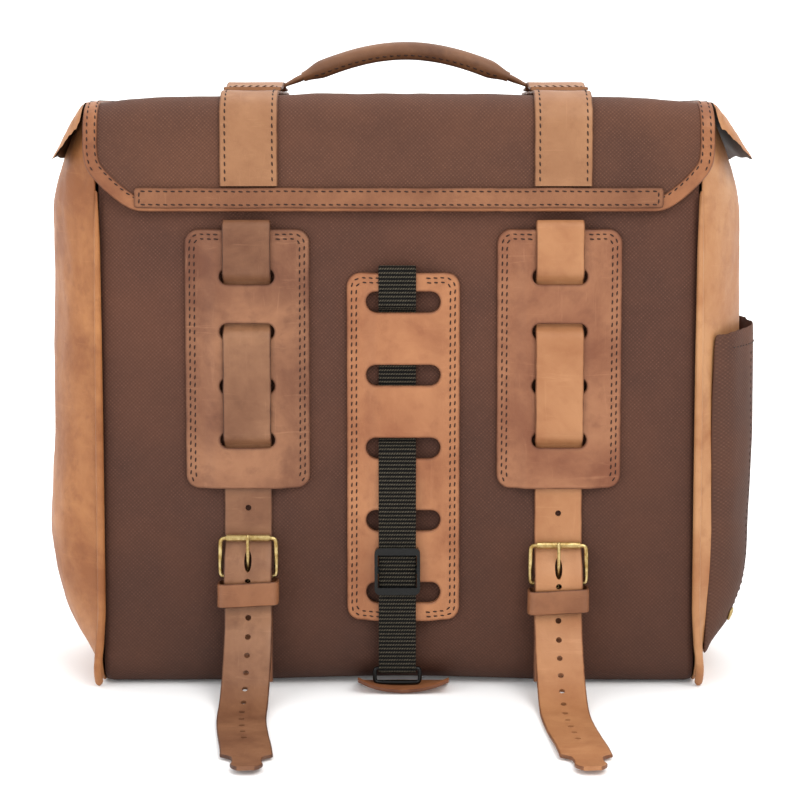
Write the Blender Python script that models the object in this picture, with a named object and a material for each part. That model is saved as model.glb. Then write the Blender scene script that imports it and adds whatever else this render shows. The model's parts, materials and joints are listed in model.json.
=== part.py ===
"""Canvas and leather motorcycle saddlebag: body, closing flap, carrying handle and rack straps.

Frame: +Z up, the bag stands on z = 0, and the side that straps to the rack faces -Y.
"""

import math

import bmesh
import bpy
from mathutils import Vector

# Body
BODY_WIDTH = 0.400
BODY_DEPTH = 0.150
BODY_HEIGHT = 0.385
CORNER_R = 0.020
CANVAS_T = 0.0025
GUSSET_T = 0.0025
GUSSET_BULGE = 0.0345
GAP = 0.0003

# Flap
FLAP_HALF_WIDTH = 0.2075
FLAP_TOP_Z = 0.400
FLAP_FACE = 0.080
FLAP_BEND_R = 0.020
FLAP_BACK_EDGE_Z = 0.324
FLAP_FRONT_EDGE_Z = 0.215
FLAP_T = 0.0025
EAR_OUT_X = 0.2455
EAR_LOW_Z = 0.353
HINGE_Y = -0.060
TAPE_WIDTH = 0.0385

# Side pocket
POCKET_STAND = 0.0115
POCKET_SHARE = 0.92
POCKET_TOP_Z = 0.241
POCKET_T = 0.0018

# Straps and their places across the bag
LEFT_X = -0.101
RIGHT_X = 0.107
CENTRE_X = 0.003
WEB_X = -0.001
TAPE_SHIFT = 0.0018
STRAP_WIDTH = 0.032
STRAP_T = 0.0026
WEB_WIDTH = 0.025
WEB_T = 0.0015

# Rack panels
PANEL_WIDTH = 0.083
PANEL_HEIGHT = 0.174
PANEL_Z = 0.224
PANEL_T = 0.0026
PANEL_CAVITY = 0.0037
PANEL_SLOTS_Z = (0.2795, 0.2430, 0.2065, 0.1700)
CENTRE_PANEL_WIDTH = 0.0755
CENTRE_PANEL_HEIGHT = 0.235
CENTRE_PANEL_Z = 0.1645
CENTRE_CAVITY = 0.0043
CENTRE_SLOTS_Z = (0.2627, 0.2137, 0.1647, 0.1157, 0.0667)

# Buckles; "out" is the distance from the canvas face
ROLLER_LEFT_Z = 0.1040
ROLLER_RIGHT_Z = 0.0990
CLOSURE_Z = 0.1720
BUCKLE_DROP = 0.0260
BAR_OUT = 0.0069
FRAME_INNER = 0.0345
WIRE_R = 0.0015
ROLLER_R = 0.0023
CHAPE_FOLD_R = 0.0031
PRONG_R = 0.0010
PRONG_HOOK_R = 0.0029
PRONG_HOLE_DROP = 0.0160
PRONG_HOLE_HEIGHT = 0.0130
KEEPER_DROP = 0.0370

# Centre webbing
SLIDER_Z = 0.0827
RING_OUT = 0.0066
RING_BAR_R = 0.0016
RING_TOP_Z = 0.0150
RING_LOW_Z = 0.0052

# Handle
HANDLE_X = CENTRE_X + TAPE_SHIFT
HANDLE_HALF = 0.0830
HANDLE_Z = 0.4048
HANDLE_RISE = 0.0262
HANDLE_CORE_R = 0.0030
HANDLE_GRIP_R = 0.0062
GRIP_HALF = 0.0705

BACK = -BODY_DEPTH / 2
TAPE_FACE = FLAP_FACE + GAP + STRAP_T / 2


# ---------------------------------------------------------------- helpers

def clear_scene():
    for obj in list(bpy.data.objects):
        bpy.data.objects.remove(obj, do_unlink=True)


def material(name, colour, roughness, metallic=0.0):
    made = bpy.data.materials.get(name) or bpy.data.materials.new(name)
    made.use_nodes = True
    shader = made.node_tree.nodes["Principled BSDF"]
    shader.inputs["Base Color"].default_value = (*colour, 1.0)
    shader.inputs["Roughness"].default_value = roughness
    shader.inputs["Metallic"].default_value = metallic
    return made


def canvas():
    return material("canvas", (0.105, 0.052, 0.037), 0.85)


def leather():
    return material("leather", (0.42, 0.19, 0.085), 0.6)


def strap_leather():
    return material("strap_leather", (0.46, 0.24, 0.125), 0.6)


def side_leather():
    return material("side_leather", (0.55, 0.27, 0.11), 0.6)


def webbing():
    return material("webbing", (0.02, 0.02, 0.018), 0.8)


def plastic():
    return material("black_plastic", (0.02, 0.022, 0.022), 0.35)


def brass():
    return material("antique_brass", (0.42, 0.29, 0.12), 0.35, 1.0)


def lining_cloth():
    return material("lining", (0.10, 0.075, 0.055), 0.9)


def board():
    return material("board", (0.03, 0.03, 0.03), 0.6)


def add_object(name, mesh, finish):
    obj = bpy.data.objects.new(name, mesh)
    bpy.context.scene.collection.objects.link(obj)
    if finish is not None:
        mesh.materials.append(finish)
    return obj


def from_bmesh(name, bm, finish, smooth=True):
    bm.normal_update()
    bmesh.ops.recalc_face_normals(bm, faces=bm.faces)
    mesh = bpy.data.meshes.new(name)
    bm.to_mesh(mesh)
    bm.free()
    if smooth:
        mesh.shade_smooth()
        mesh.set_sharp_from_angle(angle=math.radians(35))
    return add_object(name, mesh, finish)


def smooth_path(points, steps):
    """A Catmull-Rom curve through the points, with that many steps in each stretch."""
    ends = [2 * Vector(points[0]) - Vector(points[1])]
    tail = [2 * Vector(points[-1]) - Vector(points[-2])]
    p = ends + [Vector(q) for q in points] + tail
    made = []
    for i in range(1, len(p) - 2):
        for k in range(steps):
            t = k / steps
            made.append(0.5 * (
                2 * p[i]
                + (p[i + 1] - p[i - 1]) * t
                + (2 * p[i - 1] - 5 * p[i] + 4 * p[i + 1] - p[i + 2]) * t * t
                + (3 * p[i] - p[i - 1] - 3 * p[i + 1] + p[i + 2]) * t ** 3
            ))
    return made + [p[-2]]


def arc(centre, radius, start, end, steps):
    """Points (y, z) on a circle; angles in degrees from +Y towards +Z."""
    made = []
    for k in range(steps + 1):
        a = math.radians(start + (end - start) * k / steps)
        made.append(Vector((centre[0] + radius * math.cos(a), centre[1] + radius * math.sin(a))))
    return made


def ribbon(name, path, x, width, thickness, finish):
    """A flat strip of even thickness along a path of (y, z) points, lying across X."""
    bm = bmesh.new()
    rings = []
    for i, point in enumerate(path):
        ahead = path[min(i + 1, len(path) - 1)]
        behind = path[max(i - 1, 0)]
        along = (Vector(ahead) - Vector(behind)).normalized()
        side = Vector((-along.y, along.x)) * thickness / 2
        corners = []
        for sx, sn in ((-1, -1), (1, -1), (1, 1), (-1, 1)):
            p = Vector(point) + side * sn
            corners.append(bm.verts.new((x + sx * width / 2, p.x, p.y)))
        rings.append(corners)
    for a, b in zip(rings, rings[1:]):
        for k in range(4):
            bm.faces.new((a[k], a[(k + 1) % 4], b[(k + 1) % 4], b[k]))
    bm.faces.new(rings[0])
    bm.faces.new(rings[-1])
    return from_bmesh(name, bm, finish)


def prism_y(name, outline, y0, y1, finish):
    """An outline of (x, z) points, extruded from y0 to y1."""
    bm = bmesh.new()
    face = bm.faces.new([bm.verts.new((x, y0, z)) for x, z in outline])
    grown = bmesh.ops.extrude_face_region(bm, geom=[face])["geom"]
    moved = [v for v in grown if isinstance(v, bmesh.types.BMVert)]
    bmesh.ops.translate(bm, verts=moved, vec=(0, y1 - y0, 0))
    return from_bmesh(name, bm, finish)


def rounded_rectangle(cx, cz, width, height, radius, steps=4):
    made = []
    for qx, qz, start in ((1, 1, 0), (-1, 1, 90), (-1, -1, 180), (1, -1, 270)):
        for k in range(steps + 1):
            a = math.radians(start + 90 * k / steps)
            made.append((
                cx + qx * (width / 2 - radius) + radius * math.cos(a),
                cz + qz * (height / 2 - radius) + radius * math.sin(a),
            ))
    return made


def cut(obj, cutter):
    cutter.hide_render = True
    cutter.display_type = "WIRE"
    step = obj.modifiers.new("cut_" + cutter.name, "BOOLEAN")
    step.operation = "DIFFERENCE"
    step.solver = "EXACT"
    step.object = cutter


def tube(name, points, radius, finish, sides=2, cyclic=False):
    """A round bar along the points."""
    curve = bpy.data.curves.new(name, "CURVE")
    curve.dimensions = "3D"
    curve.bevel_depth = radius
    curve.bevel_resolution = sides
    curve.use_fill_caps = not cyclic
    spline = curve.splines.new("POLY")
    spline.points.add(len(points) - 1)
    for slot, point in zip(spline.points, points):
        slot.co = (*point, 1.0)
    spline.use_cyclic_u = cyclic
    curve.materials.append(finish)
    obj = bpy.data.objects.new(name, curve)
    bpy.context.scene.collection.objects.link(obj)
    return obj


def solid_sheet(name, rows, thickness, finish, offset=-1.0):
    """A sheet through rows of points, thickened to one side."""
    bm = bmesh.new()
    verts = [[bm.verts.new(p) for p in row] for row in rows]
    for a, b in zip(verts, verts[1:]):
        for k in range(len(a) - 1):
            bm.faces.new((a[k], a[k + 1], b[k + 1], b[k]))
    mesh = bpy.data.meshes.new(name)
    bm.to_mesh(mesh)
    bm.free()
    mesh.shade_smooth()
    obj = add_object(name, mesh, finish)
    thick = obj.modifiers.new("thickness", "SOLIDIFY")
    thick.thickness = thickness
    thick.offset = offset
    thick.use_even_offset = False
    return obj


# ---------------------------------------------------------------- body

def wall_profile(inset, top=BODY_HEIGHT):
    """The body's U outline in (y, z), down the back, along the base and up the front."""
    edge = BODY_DEPTH / 2 - inset
    r = CORNER_R - inset
    low = CORNER_R
    return (
        [Vector((-edge, top))]
        + arc((-edge + r, low), r, 180, 270, 6)
        + arc((edge - r, low), r, 270, 360, 6)
        + [Vector((edge, top))]
    )


def make_canvas_body():
    ribbon("canvas_body", wall_profile(CANVAS_T / 2), 0, BODY_WIDTH, CANVAS_T, canvas())


def gusset_swell(z):
    """How full the side is at a height, from 0 at the base to 1, drawn in again at the mouth."""
    low = math.sin(min(1.0, z / 0.125) * math.pi / 2)
    high = 1.0 - 0.62 * max(0.0, (z - 0.325) / 0.06) ** 1.5
    return low * high


def gusset_point(u, z, out=0.0):
    """A point of the right gusset's inner face; u runs from -1 at the back seam to 1 at the front."""
    drop = max(0.0, CORNER_R - z)
    half = BODY_DEPTH / 2 - CORNER_R + math.sqrt(max(0.0, CORNER_R ** 2 - drop ** 2))
    swell = GUSSET_BULGE * (1 - abs(u) ** 2.4) * gusset_swell(z)
    return Vector((BODY_WIDTH / 2 + GAP + swell + out, u * half, z))


def make_gussets():
    heights = [0.0005, 0.006, 0.014, 0.024, 0.04, 0.06, 0.085, 0.115, 0.16, 0.21, 0.26, 0.31, 0.335,
        0.36, BODY_HEIGHT]
    steps = [-1, -0.93, -0.82, -0.65, -0.4, -0.13, 0.13, 0.4, 0.65, 0.82, 0.93, 1]
    for side, name in ((-1, "gusset_left"), (1, "gusset_right")):
        rows = []
        for z in heights:
            row = [gusset_point(u, z) for u in steps]
            rows.append([(side * p.x, p.y, p.z) for p in row])
        thicken = solid_sheet(name, rows, GUSSET_T, side_leather(), offset=side)
        thicken.modifiers["thickness"].use_even_offset = False


def make_lining():
    """An open-topped cloth tray, clear of the boards."""
    bm = bmesh.new()
    bmesh.ops.create_cube(bm, size=1.0)
    low, high = 0.0085, 0.378
    for v in bm.verts:
        v.co = (v.co.x * 0.392, v.co.y * 0.132, low + (v.co.z + 0.5) * (high - low))
    top = [f for f in bm.faces if f.normal.z > 0.9]
    bmesh.ops.delete(bm, geom=top, context="FACES_ONLY")
    corners = [e for e in bm.edges if len(e.link_faces) == 2]
    bmesh.ops.bevel(bm, geom=corners, offset=0.016, segments=3, affect="EDGES", profile=0.5)
    obj = from_bmesh("lining", bm, lining_cloth())
    thick = obj.modifiers.new("thickness", "SOLIDIFY")
    thick.thickness = 0.0012
    thick.offset = -1


def make_boards():
    y0 = BACK + CANVAS_T + 0.0012
    prism_y("back_board", rounded_rectangle(0, 0.195, 0.360, 0.320, 0.015), y0, y0 + 0.0025, board())
    bm = bmesh.new()
    bmesh.ops.create_cube(bm, size=1.0)
    for v in bm.verts:
        v.co = (v.co.x * 0.370, v.co.y * 0.084, 0.0045 + v.co.z * 0.0025)
    from_bmesh("base_board", bm, board())


def make_welts():
    """Leather piping down the four upright seams, tucked under the bag at each corner."""
    r = 0.003
    out = r + 0.0006
    for face, word in ((-1, "back"), (1, "front")):
        centre_y = face * (BODY_DEPTH / 2 - CORNER_R)
        bend = arc((centre_y, CORNER_R), CORNER_R + out, 180, 232, 6)
        if face > 0:
            bend = [Vector((2 * centre_y - p.x, p.y)) for p in bend]
        top = 0.336 if face < 0 else 0.209
        line = [Vector((face * (BODY_DEPTH / 2 + out), z)) for z in (top, 0.16, 0.09)] + bend
        for side, hand in ((-1, "left"), (1, "right")):
            x = side * (BODY_WIDTH / 2 - 0.0015)
            tube(f"welt_{word}_{hand}", [(x, p.x, p.y) for p in line], r, side_leather())


def pocket_point(u, z):
    """A point of the side pocket's inner face; u runs from -1 at its back edge to 1 at its front edge."""
    stand = POCKET_STAND * (1 - abs(u) ** 8) * math.sin(min(1.0, (z - 0.030) / 0.030) * math.pi / 2)
    foot = gusset_point(POCKET_SHARE * u, z)
    return Vector((foot.x + GUSSET_T + 2 * GAP + 0.0006 + stand, foot.y, foot.z))


def make_side_pocket():
    """A gathered canvas pouch on the right gusset, open at the top, with a drain eyelet."""
    heights = [0.030, 0.034, 0.045, 0.065, 0.10, 0.14, 0.18, 0.21, POCKET_TOP_Z]
    steps = [-1, -0.97, -0.85, -0.6, -0.3, 0, 0.3, 0.6, 0.85, 0.97, 1]
    rows = [[pocket_point(u, z) for u in steps] for z in heights]
    solid_sheet("side_pocket", rows, POCKET_T, canvas(), offset=1)
    u, z = -0.62, 0.045
    spot = pocket_point(u, z)
    normal = (pocket_point(u + 0.02, z) - spot).cross(pocket_point(u, z + 0.002) - spot).normalized()
    ring("drain_eyelet", spot + normal * (POCKET_T + 0.0022), 0.0036, 0.0011, normal)


def ring(name, centre, radius, wire, axis):
    """A metal ring round an axis."""
    turn = Vector((0, 0, 1)).rotation_difference(Vector(axis).normalized())
    points = []
    for k in range(16):
        a = 2 * math.pi * k / 16
        p = turn @ Vector((radius * math.cos(a), radius * math.sin(a), 0)) + Vector(centre)
        points.append(tuple(p))
    tube(name, points, wire, brass(), sides=1, cyclic=True)


# ---------------------------------------------------------------- straps and buckles

def on_wall(sign, route):
    """Turns (distance out from the canvas, height) into (y, z); sign is -1 on the rack side, 1 in front."""
    return [Vector((sign * (BODY_DEPTH / 2 + out), z)) for out, z in route]


def strap_through_buckle(z):
    """The part of a strap's route that runs under the roller, over the hinge bar and into the keeper."""
    return [
        (0.0028, z + 0.006), (0.0028, z), (0.0052, z - 0.008), (0.0112, z - 0.018), (0.0134, z - 0.026),
        (0.0120, z - 0.031), (0.0098, z - 0.037), (0.0093, z - 0.045),
    ]


def make_panel(name, x, z, width, height, cavity, slots, slot_size, channel):
    """A leather panel sewn down round its edge, with slots, and room for a strap behind it."""
    back = BACK - GAP
    face = back - cavity - PANEL_T
    body = prism_y(name, rounded_rectangle(x, z, width, height, 0.009), face, back, leather())
    hollow = rounded_rectangle(x, z, width - 0.018, height - 0.018, 0.004)
    cut(body, prism_y(name + "_hollow", hollow, back - cavity, back + 0.002, None))
    way = rounded_rectangle(x, z, channel, height + 0.02, 0.0008, 1)
    cut(body, prism_y(name + "_channel", way, back - cavity + 0.00002, back + 0.003, None))
    for i, slot_z in enumerate(slots):
        hole = rounded_rectangle(x, slot_z, slot_size[0], slot_size[1], slot_size[1] / 2 - 0.0001, 4)
        cut(body, prism_y(f"{name}_slot_{i}", hole, face - 0.002, back + 0.004, None))


def cut_prong_hole(strap, x, sign, z):
    outline = rounded_rectangle(x, z - PRONG_HOLE_DROP, 0.0048, PRONG_HOLE_HEIGHT, 0.0023, 3)
    low, high = sorted((sign * (BODY_DEPTH / 2 + 0.020), sign * (BODY_DEPTH / 2 + 0.0005)))
    cut(strap, prism_y(strap.name + "_prong_hole", outline, low, high, None))


def make_mount_strap(name, x, z):
    """The long strap: over the panel's top, through its slots and its buckle, and down to the floor."""
    behind = GAP + 0.0004 + STRAP_T / 2
    front = GAP + PANEL_CAVITY + PANEL_T + 0.0005 + STRAP_T / 2
    top = PANEL_Z + PANEL_HEIGHT / 2
    low = top - PANEL_HEIGHT
    step = 0.0036
    first, second, _, last = PANEL_SLOTS_Z
    route = [
        (behind, top - 0.022), (behind, top - 0.011), (behind, top - 0.001), (behind + 0.0008,
            top + 0.0032),
        ((behind + front) / 2, top + 0.0050), (front - 0.0008, top + 0.0032), (front, top - 0.001),
        (front, top - 0.014), (front, first + step), (behind, first - step),
        (behind, (first + second) / 2), (behind, second + step), (front, second - step), (front,
            second - 0.022),
        (front, last + 0.022), (front, last + step), (behind, last - step), (behind, last - 0.018),
        (behind, low), (behind, low - 0.012),
        *strap_through_buckle(z),
        (0.0095, 0.054), (0.0118, 0.044), (0.0190, 0.0320), (0.0300, 0.0200), (0.0430, 0.0103),
        (0.0570, 0.0042), (0.0720, 0.0019), (0.0900, 0.0017), (0.1150, 0.0020), (0.1400, 0.0030),
        (0.1620, 0.0022), (0.1820, 0.0042),
    ]
    path = [Vector(p) for p in on_wall(-1, [tuple(p) for p in smooth_path(route, 3)])]
    strap = ribbon(name, path, x, STRAP_WIDTH, STRAP_T, strap_leather())
    cut_prong_hole(strap, x, -1, z)


def make_chape(name, x, z, sign, foot_z):
    """The short strap folded round the buckle's hinge bar, slotted for the prong."""
    low = z - BUCKLE_DROP
    fold = arc((BAR_OUT, low), CHAPE_FOLD_R, 180, 0, 8)
    route = [(BAR_OUT - CHAPE_FOLD_R, foot_z), (BAR_OUT - CHAPE_FOLD_R, low - 0.02)]
    route += [tuple(p) for p in fold] + [(BAR_OUT + CHAPE_FOLD_R, low - 0.0015)]
    strap = ribbon(name, on_wall(sign, route), x, STRAP_WIDTH, STRAP_T, strap_leather())
    slot = rounded_rectangle(x, low + 0.0015, 0.0064, 0.0150, 0.0010, 1)
    near, far = sorted((sign * (BODY_DEPTH / 2 + 0.0005), sign * (BODY_DEPTH / 2 + 0.016)))
    cut(strap, prism_y(name + "_slot", slot, near, far, None))


def make_buckle(prefix, x, z, sign):
    """A wire frame, a roller on its top bar and a prong hooked on its lower bar."""
    y = sign * (BODY_DEPTH / 2 + BAR_OUT)
    low = z - BUCKLE_DROP
    half = FRAME_INNER / 2 + WIRE_R
    outline = [(p[0], y, p[1]) for p in rounded_rectangle(x, (z + low) / 2, 2 * half, BUCKLE_DROP,
        0.003, 3)]
    tube(prefix + "_frame", outline, WIRE_R, brass(), sides=2, cyclic=True)

    bar = cylinder_x(prefix + "_roller", (x, y, z), ROLLER_R, 0.029, brass())
    cut(bar, cylinder_x(prefix + "_roller_bore", (x, y, z), WIRE_R + GAP, 0.034))

    hook = [(PRONG_HOOK_R * math.cos(math.radians(d)), PRONG_HOOK_R * math.sin(math.radians(d)))
            for d in (-25, -60, -95, -130, -165, -200, -235)]
    rise = [(0.0010, 0.0046), (0.0026, 0.0095), (0.0038, 0.0150), (0.0046, 0.0205), (0.0047, 0.0262),
        (0.0037, 0.0288)]
    line = [(x, y + sign * out, low + up) for out, up in hook + rise]
    tube(prefix + "_prong", line, PRONG_R, brass(), sides=2)


def make_keeper(name, x, z, sign):
    """A leather loop round the strap and the chape."""
    near, far = 0.0004, 0.0163
    y_mid = sign * (BODY_DEPTH / 2 + (near + far) / 2)
    loop = prism_z(name, rounded_rectangle(x, y_mid, 0.041, far - near, 0.004), z - 0.008, z + 0.008,
        strap_leather())
    hole = rounded_rectangle(x, y_mid, 0.037, far - near - 0.0036, 0.0022)
    cut(loop, prism_z(name + "_hole", hole, z - 0.012, z + 0.012, None))


def prism_z(name, outline, z0, z1, finish):
    """An outline of (x, y) points, extruded from z0 to z1."""
    bm = bmesh.new()
    face = bm.faces.new([bm.verts.new((x, y, z0)) for x, y in outline])
    grown = bmesh.ops.extrude_face_region(bm, geom=[face])["geom"]
    moved = [v for v in grown if isinstance(v, bmesh.types.BMVert)]
    bmesh.ops.translate(bm, verts=moved, vec=(0, 0, z1 - z0))
    return from_bmesh(name, bm, finish)


def box(name, low, high):
    bm = bmesh.new()
    bmesh.ops.create_cube(bm, size=1.0)
    for v in bm.verts:
        v.co = [low[k] + (v.co[k] + 0.5) * (high[k] - low[k]) for k in range(3)]
    return from_bmesh(name, bm, None)


def cylinder_x(name, centre, radius, length, finish=None):
    bm = bmesh.new()
    bmesh.ops.create_cone(
        bm, cap_ends=True, cap_tris=False, segments=16, radius1=radius, radius2=radius, depth=length
    )
    for v in bm.verts:
        v.co = (centre[0] + v.co.z, centre[1] + v.co.x, centre[2] + v.co.y)
    return from_bmesh(name, bm, finish)


def make_rack_straps():
    """Both outer panels with their straps, buckles and keepers."""
    for hand, x, z in (("left", LEFT_X, ROLLER_LEFT_Z), ("right", RIGHT_X, ROLLER_RIGHT_Z)):
        make_panel(
            f"rack_panel_{hand}", x, PANEL_Z, PANEL_WIDTH, PANEL_HEIGHT, PANEL_CAVITY,
            PANEL_SLOTS_Z, (0.0365, 0.0104), STRAP_WIDTH + 0.003,
        )
        make_mount_strap(f"rack_strap_{hand}", x, z)
        make_chape(f"rack_chape_{hand}", x, z, -1, 0.005)
        make_buckle(f"rack_{hand}", x, z, -1)
        make_keeper(f"rack_keeper_{hand}", x, z - KEEPER_DROP, -1)


# ---------------------------------------------------------------- centre webbing

def make_centre_strap():
    """The middle panel, its webbing loop, the slider that sets its length and the ring at its foot."""
    make_panel(
        "centre_panel", CENTRE_X, CENTRE_PANEL_Z, CENTRE_PANEL_WIDTH, CENTRE_PANEL_HEIGHT, CENTRE_CAVITY,
        CENTRE_SLOTS_Z, (0.0495, 0.0140), WEB_WIDTH + 0.011,
    )
    top = CENTRE_PANEL_Z + CENTRE_PANEL_HEIGHT / 2
    inner = GAP + 0.0003 + WEB_T / 2
    second = inner + WEB_T + 0.0005
    front = GAP + CENTRE_CAVITY + PANEL_T + 0.0004 + WEB_T / 2
    raised = front + 0.0028
    first, _, third, _, _ = CENTRE_SLOTS_Z
    turn = RING_BAR_R + GAP + WEB_T / 2
    route = [(raised, SLIDER_Z - 0.0003), (raised, SLIDER_Z - 0.012), (raised, 0.052),
        (front + 0.0012, 0.036)]
    route += [(RING_OUT + turn, 0.024), (RING_OUT + turn, RING_TOP_Z)]
    route += [tuple(p) for p in arc((RING_OUT, RING_TOP_Z), turn, -30, -150, 4)]
    route += [(RING_OUT - turn, RING_TOP_Z), (inner + 0.0008, 0.030), (inner, 0.045)]
    route += [(inner, 0.10), (inner, 0.20), (inner, top - 0.004), (inner + 0.0008, top + 0.0026)]
    route += [((inner + front) / 2, top + 0.0042), (front - 0.0008, top + 0.0026), (front, top - 0.002)]
    route += [(front, first + 0.008), (front, first - 0.001), (second, first - 0.0060),
        (second, first - 0.016)]
    route += [(second, (first + third) / 2), (second, third + 0.014), (second, third + 0.0055)]
    route += [(front, third - 0.0015), (front, third - 0.008), (raised, 0.136), (raised, 0.115),
        (raised, SLIDER_Z + 0.0003)]
    path = on_wall(-1, [tuple(p) for p in smooth_path(route, 2)])
    ribbon("webbing", path, WEB_X, WEB_WIDTH, WEB_T, webbing())

    make_slider(raised)
    ring_points = rounded_rectangle(
        WEB_X, (RING_TOP_Z + RING_LOW_Z) / 2, 0.0304, RING_TOP_Z - RING_LOW_Z, 0.002, 2
    )
    y = -(BODY_DEPTH / 2 + RING_OUT)
    tube("webbing_ring", [(px, y, pz) for px, pz in ring_points], RING_BAR_R, plastic(), sides=2,
        cyclic=True)
    tab = [Vector((-0.0668, 0.0018)), Vector((-0.078, 0.0018)), Vector((-0.0925, 0.0018))]
    ribbon("base_tab", tab, CENTRE_X, 0.061, STRAP_T, leather())


def make_slider(web_out):
    """A three-bar slider: two bars in front of the webbing and one behind it."""
    wall = BODY_DEPTH / 2
    under = web_out - WEB_T / 2 - 0.0004
    over = web_out + WEB_T / 2 + 0.0004
    back, face = under - 0.0020, over + 0.0022
    plate = prism_y(
        "slider", rounded_rectangle(WEB_X, SLIDER_Z, 0.0305, 0.032,
            0.004), -(wall + face), -(wall + back), plastic()
    )
    half = 0.0131
    for name, low, high in (
        ("front", (-half, over - 0.006, -0.0110), (half, face + 0.001, 0.0110)),
        ("above", (-half, back - 0.001, 0.0022), (half, over + 0.00001, 0.020)),
        ("below", (-half, back - 0.001, -0.020), (half, over + 0.00002, -0.0022)),
    ):
        if name == "front":
            low = (low[0], under, low[2])
        cutter = box(
            "slider_" + name,
            (WEB_X + low[0], -(wall + high[1]), SLIDER_Z + low[2]),
            (WEB_X + high[0], -(wall + low[1]), SLIDER_Z + high[2]),
        )
        cut(plate, cutter)


# ---------------------------------------------------------------- flap

def cut_flap_corners(obj, face_y, edge_z):
    """Takes the two lower corners off a flap face in a rounded slope."""
    for side, hand in ((-1, "left"), (1, "right")):
        outline = [(side * x, edge_z + up) for x, up in
                   ((0.166, -0.006), (0.176, 0.0005), (0.188, 0.008), (0.199, 0.021), (0.207, 0.040),
                    (0.2135, 0.062), (0.2135, -0.006))]
        cutter = prism_y(f"{obj.name}_corner_{hand}", outline, face_y - 0.004, face_y + 0.004, None)
        cut(obj, cutter)


def make_fixed_flap_back():
    """The flap's rear edge, sewn to the body, up to the hinge line."""
    mid = FLAP_FACE - FLAP_T / 2
    bend_z = FLAP_TOP_Z - FLAP_BEND_R
    line = [Vector((-mid, FLAP_BACK_EDGE_Z)), Vector((-mid, 0.35))]
    line += arc((HINGE_Y, bend_z), FLAP_BEND_R - FLAP_T / 2, 180, 91, 6)
    back = ribbon("flap_back", line, 0, 2 * FLAP_HALF_WIDTH, FLAP_T, canvas())
    cut_flap_corners(back, -mid, FLAP_BACK_EDGE_Z)
    band_y = -(FLAP_FACE + GAP + 0.0011)
    band = [Vector((band_y, FLAP_BACK_EDGE_Z + 0.0008)), Vector((band_y, FLAP_BACK_EDGE_Z + 0.0145))]
    ribbon("flap_back_band", band, 0, 0.350, 0.0022, leather())
    for hand, x in (("left", LEFT_X), ("right", RIGHT_X)):
        tape = [Vector((-TAPE_FACE, FLAP_BACK_EDGE_Z + 0.0158)), Vector((-TAPE_FACE, 0.36))]
        tape += arc((HINGE_Y, bend_z), FLAP_BEND_R + GAP + STRAP_T / 2, 180, 93.5, 6)
        ribbon(f"tape_back_{hand}", tape, x + TAPE_SHIFT, TAPE_WIDTH, STRAP_T, strap_leather())


def make_flap():
    """The moving flap: over the top and down the front, with side skirts, tapes and closures."""
    mid = FLAP_FACE - FLAP_T / 2
    bend_z = FLAP_TOP_Z - FLAP_BEND_R
    top_mid = FLAP_TOP_Z - FLAP_T / 2
    line = [Vector((HINGE_Y + 0.0014, top_mid)), Vector((0.0, top_mid))]
    line += arc((-HINGE_Y, bend_z), FLAP_BEND_R - FLAP_T / 2, 90, 0, 6)
    line += [Vector((mid, 0.30)), Vector((mid, FLAP_FRONT_EDGE_Z))]
    cover = ribbon("flap_cover", line, 0, 2 * FLAP_HALF_WIDTH, FLAP_T, canvas())
    cut_flap_corners(cover, mid, FLAP_FRONT_EDGE_Z)
    band_y = FLAP_FACE + GAP + 0.0011
    band = [Vector((band_y, FLAP_FRONT_EDGE_Z + 0.0008)), Vector((band_y, FLAP_FRONT_EDGE_Z + 0.0145))]
    ribbon("flap_front_band", band, 0, 0.350, 0.0022, leather())
    for side, hand in ((-1, "left"), (1, "right")):
        rows = []
        for k in range(5):
            t = k / 4
            drop = math.sin(t * math.pi / 2)
            x = FLAP_HALF_WIDTH + 0.0024 + (EAR_OUT_X - 0.0035 - FLAP_HALF_WIDTH) * t
            z = FLAP_TOP_Z - 0.003 - (FLAP_TOP_Z - 0.003 - EAR_LOW_Z) * (0.55 * t + 0.45 * (1 - math.sqrt(1 - drop ** 2 * 0.96)))
            rows.append([(side * x, y, z) for y in (-0.054, -0.03, 0.0, 0.03, 0.055, 0.070)])
        solid_sheet(f"flap_skirt_{hand}", rows, 0.0020, side_leather(), offset=side)
    for hand, x in (("left", LEFT_X), ("right", RIGHT_X)):
        make_closure(hand, x, bend_z)


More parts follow.
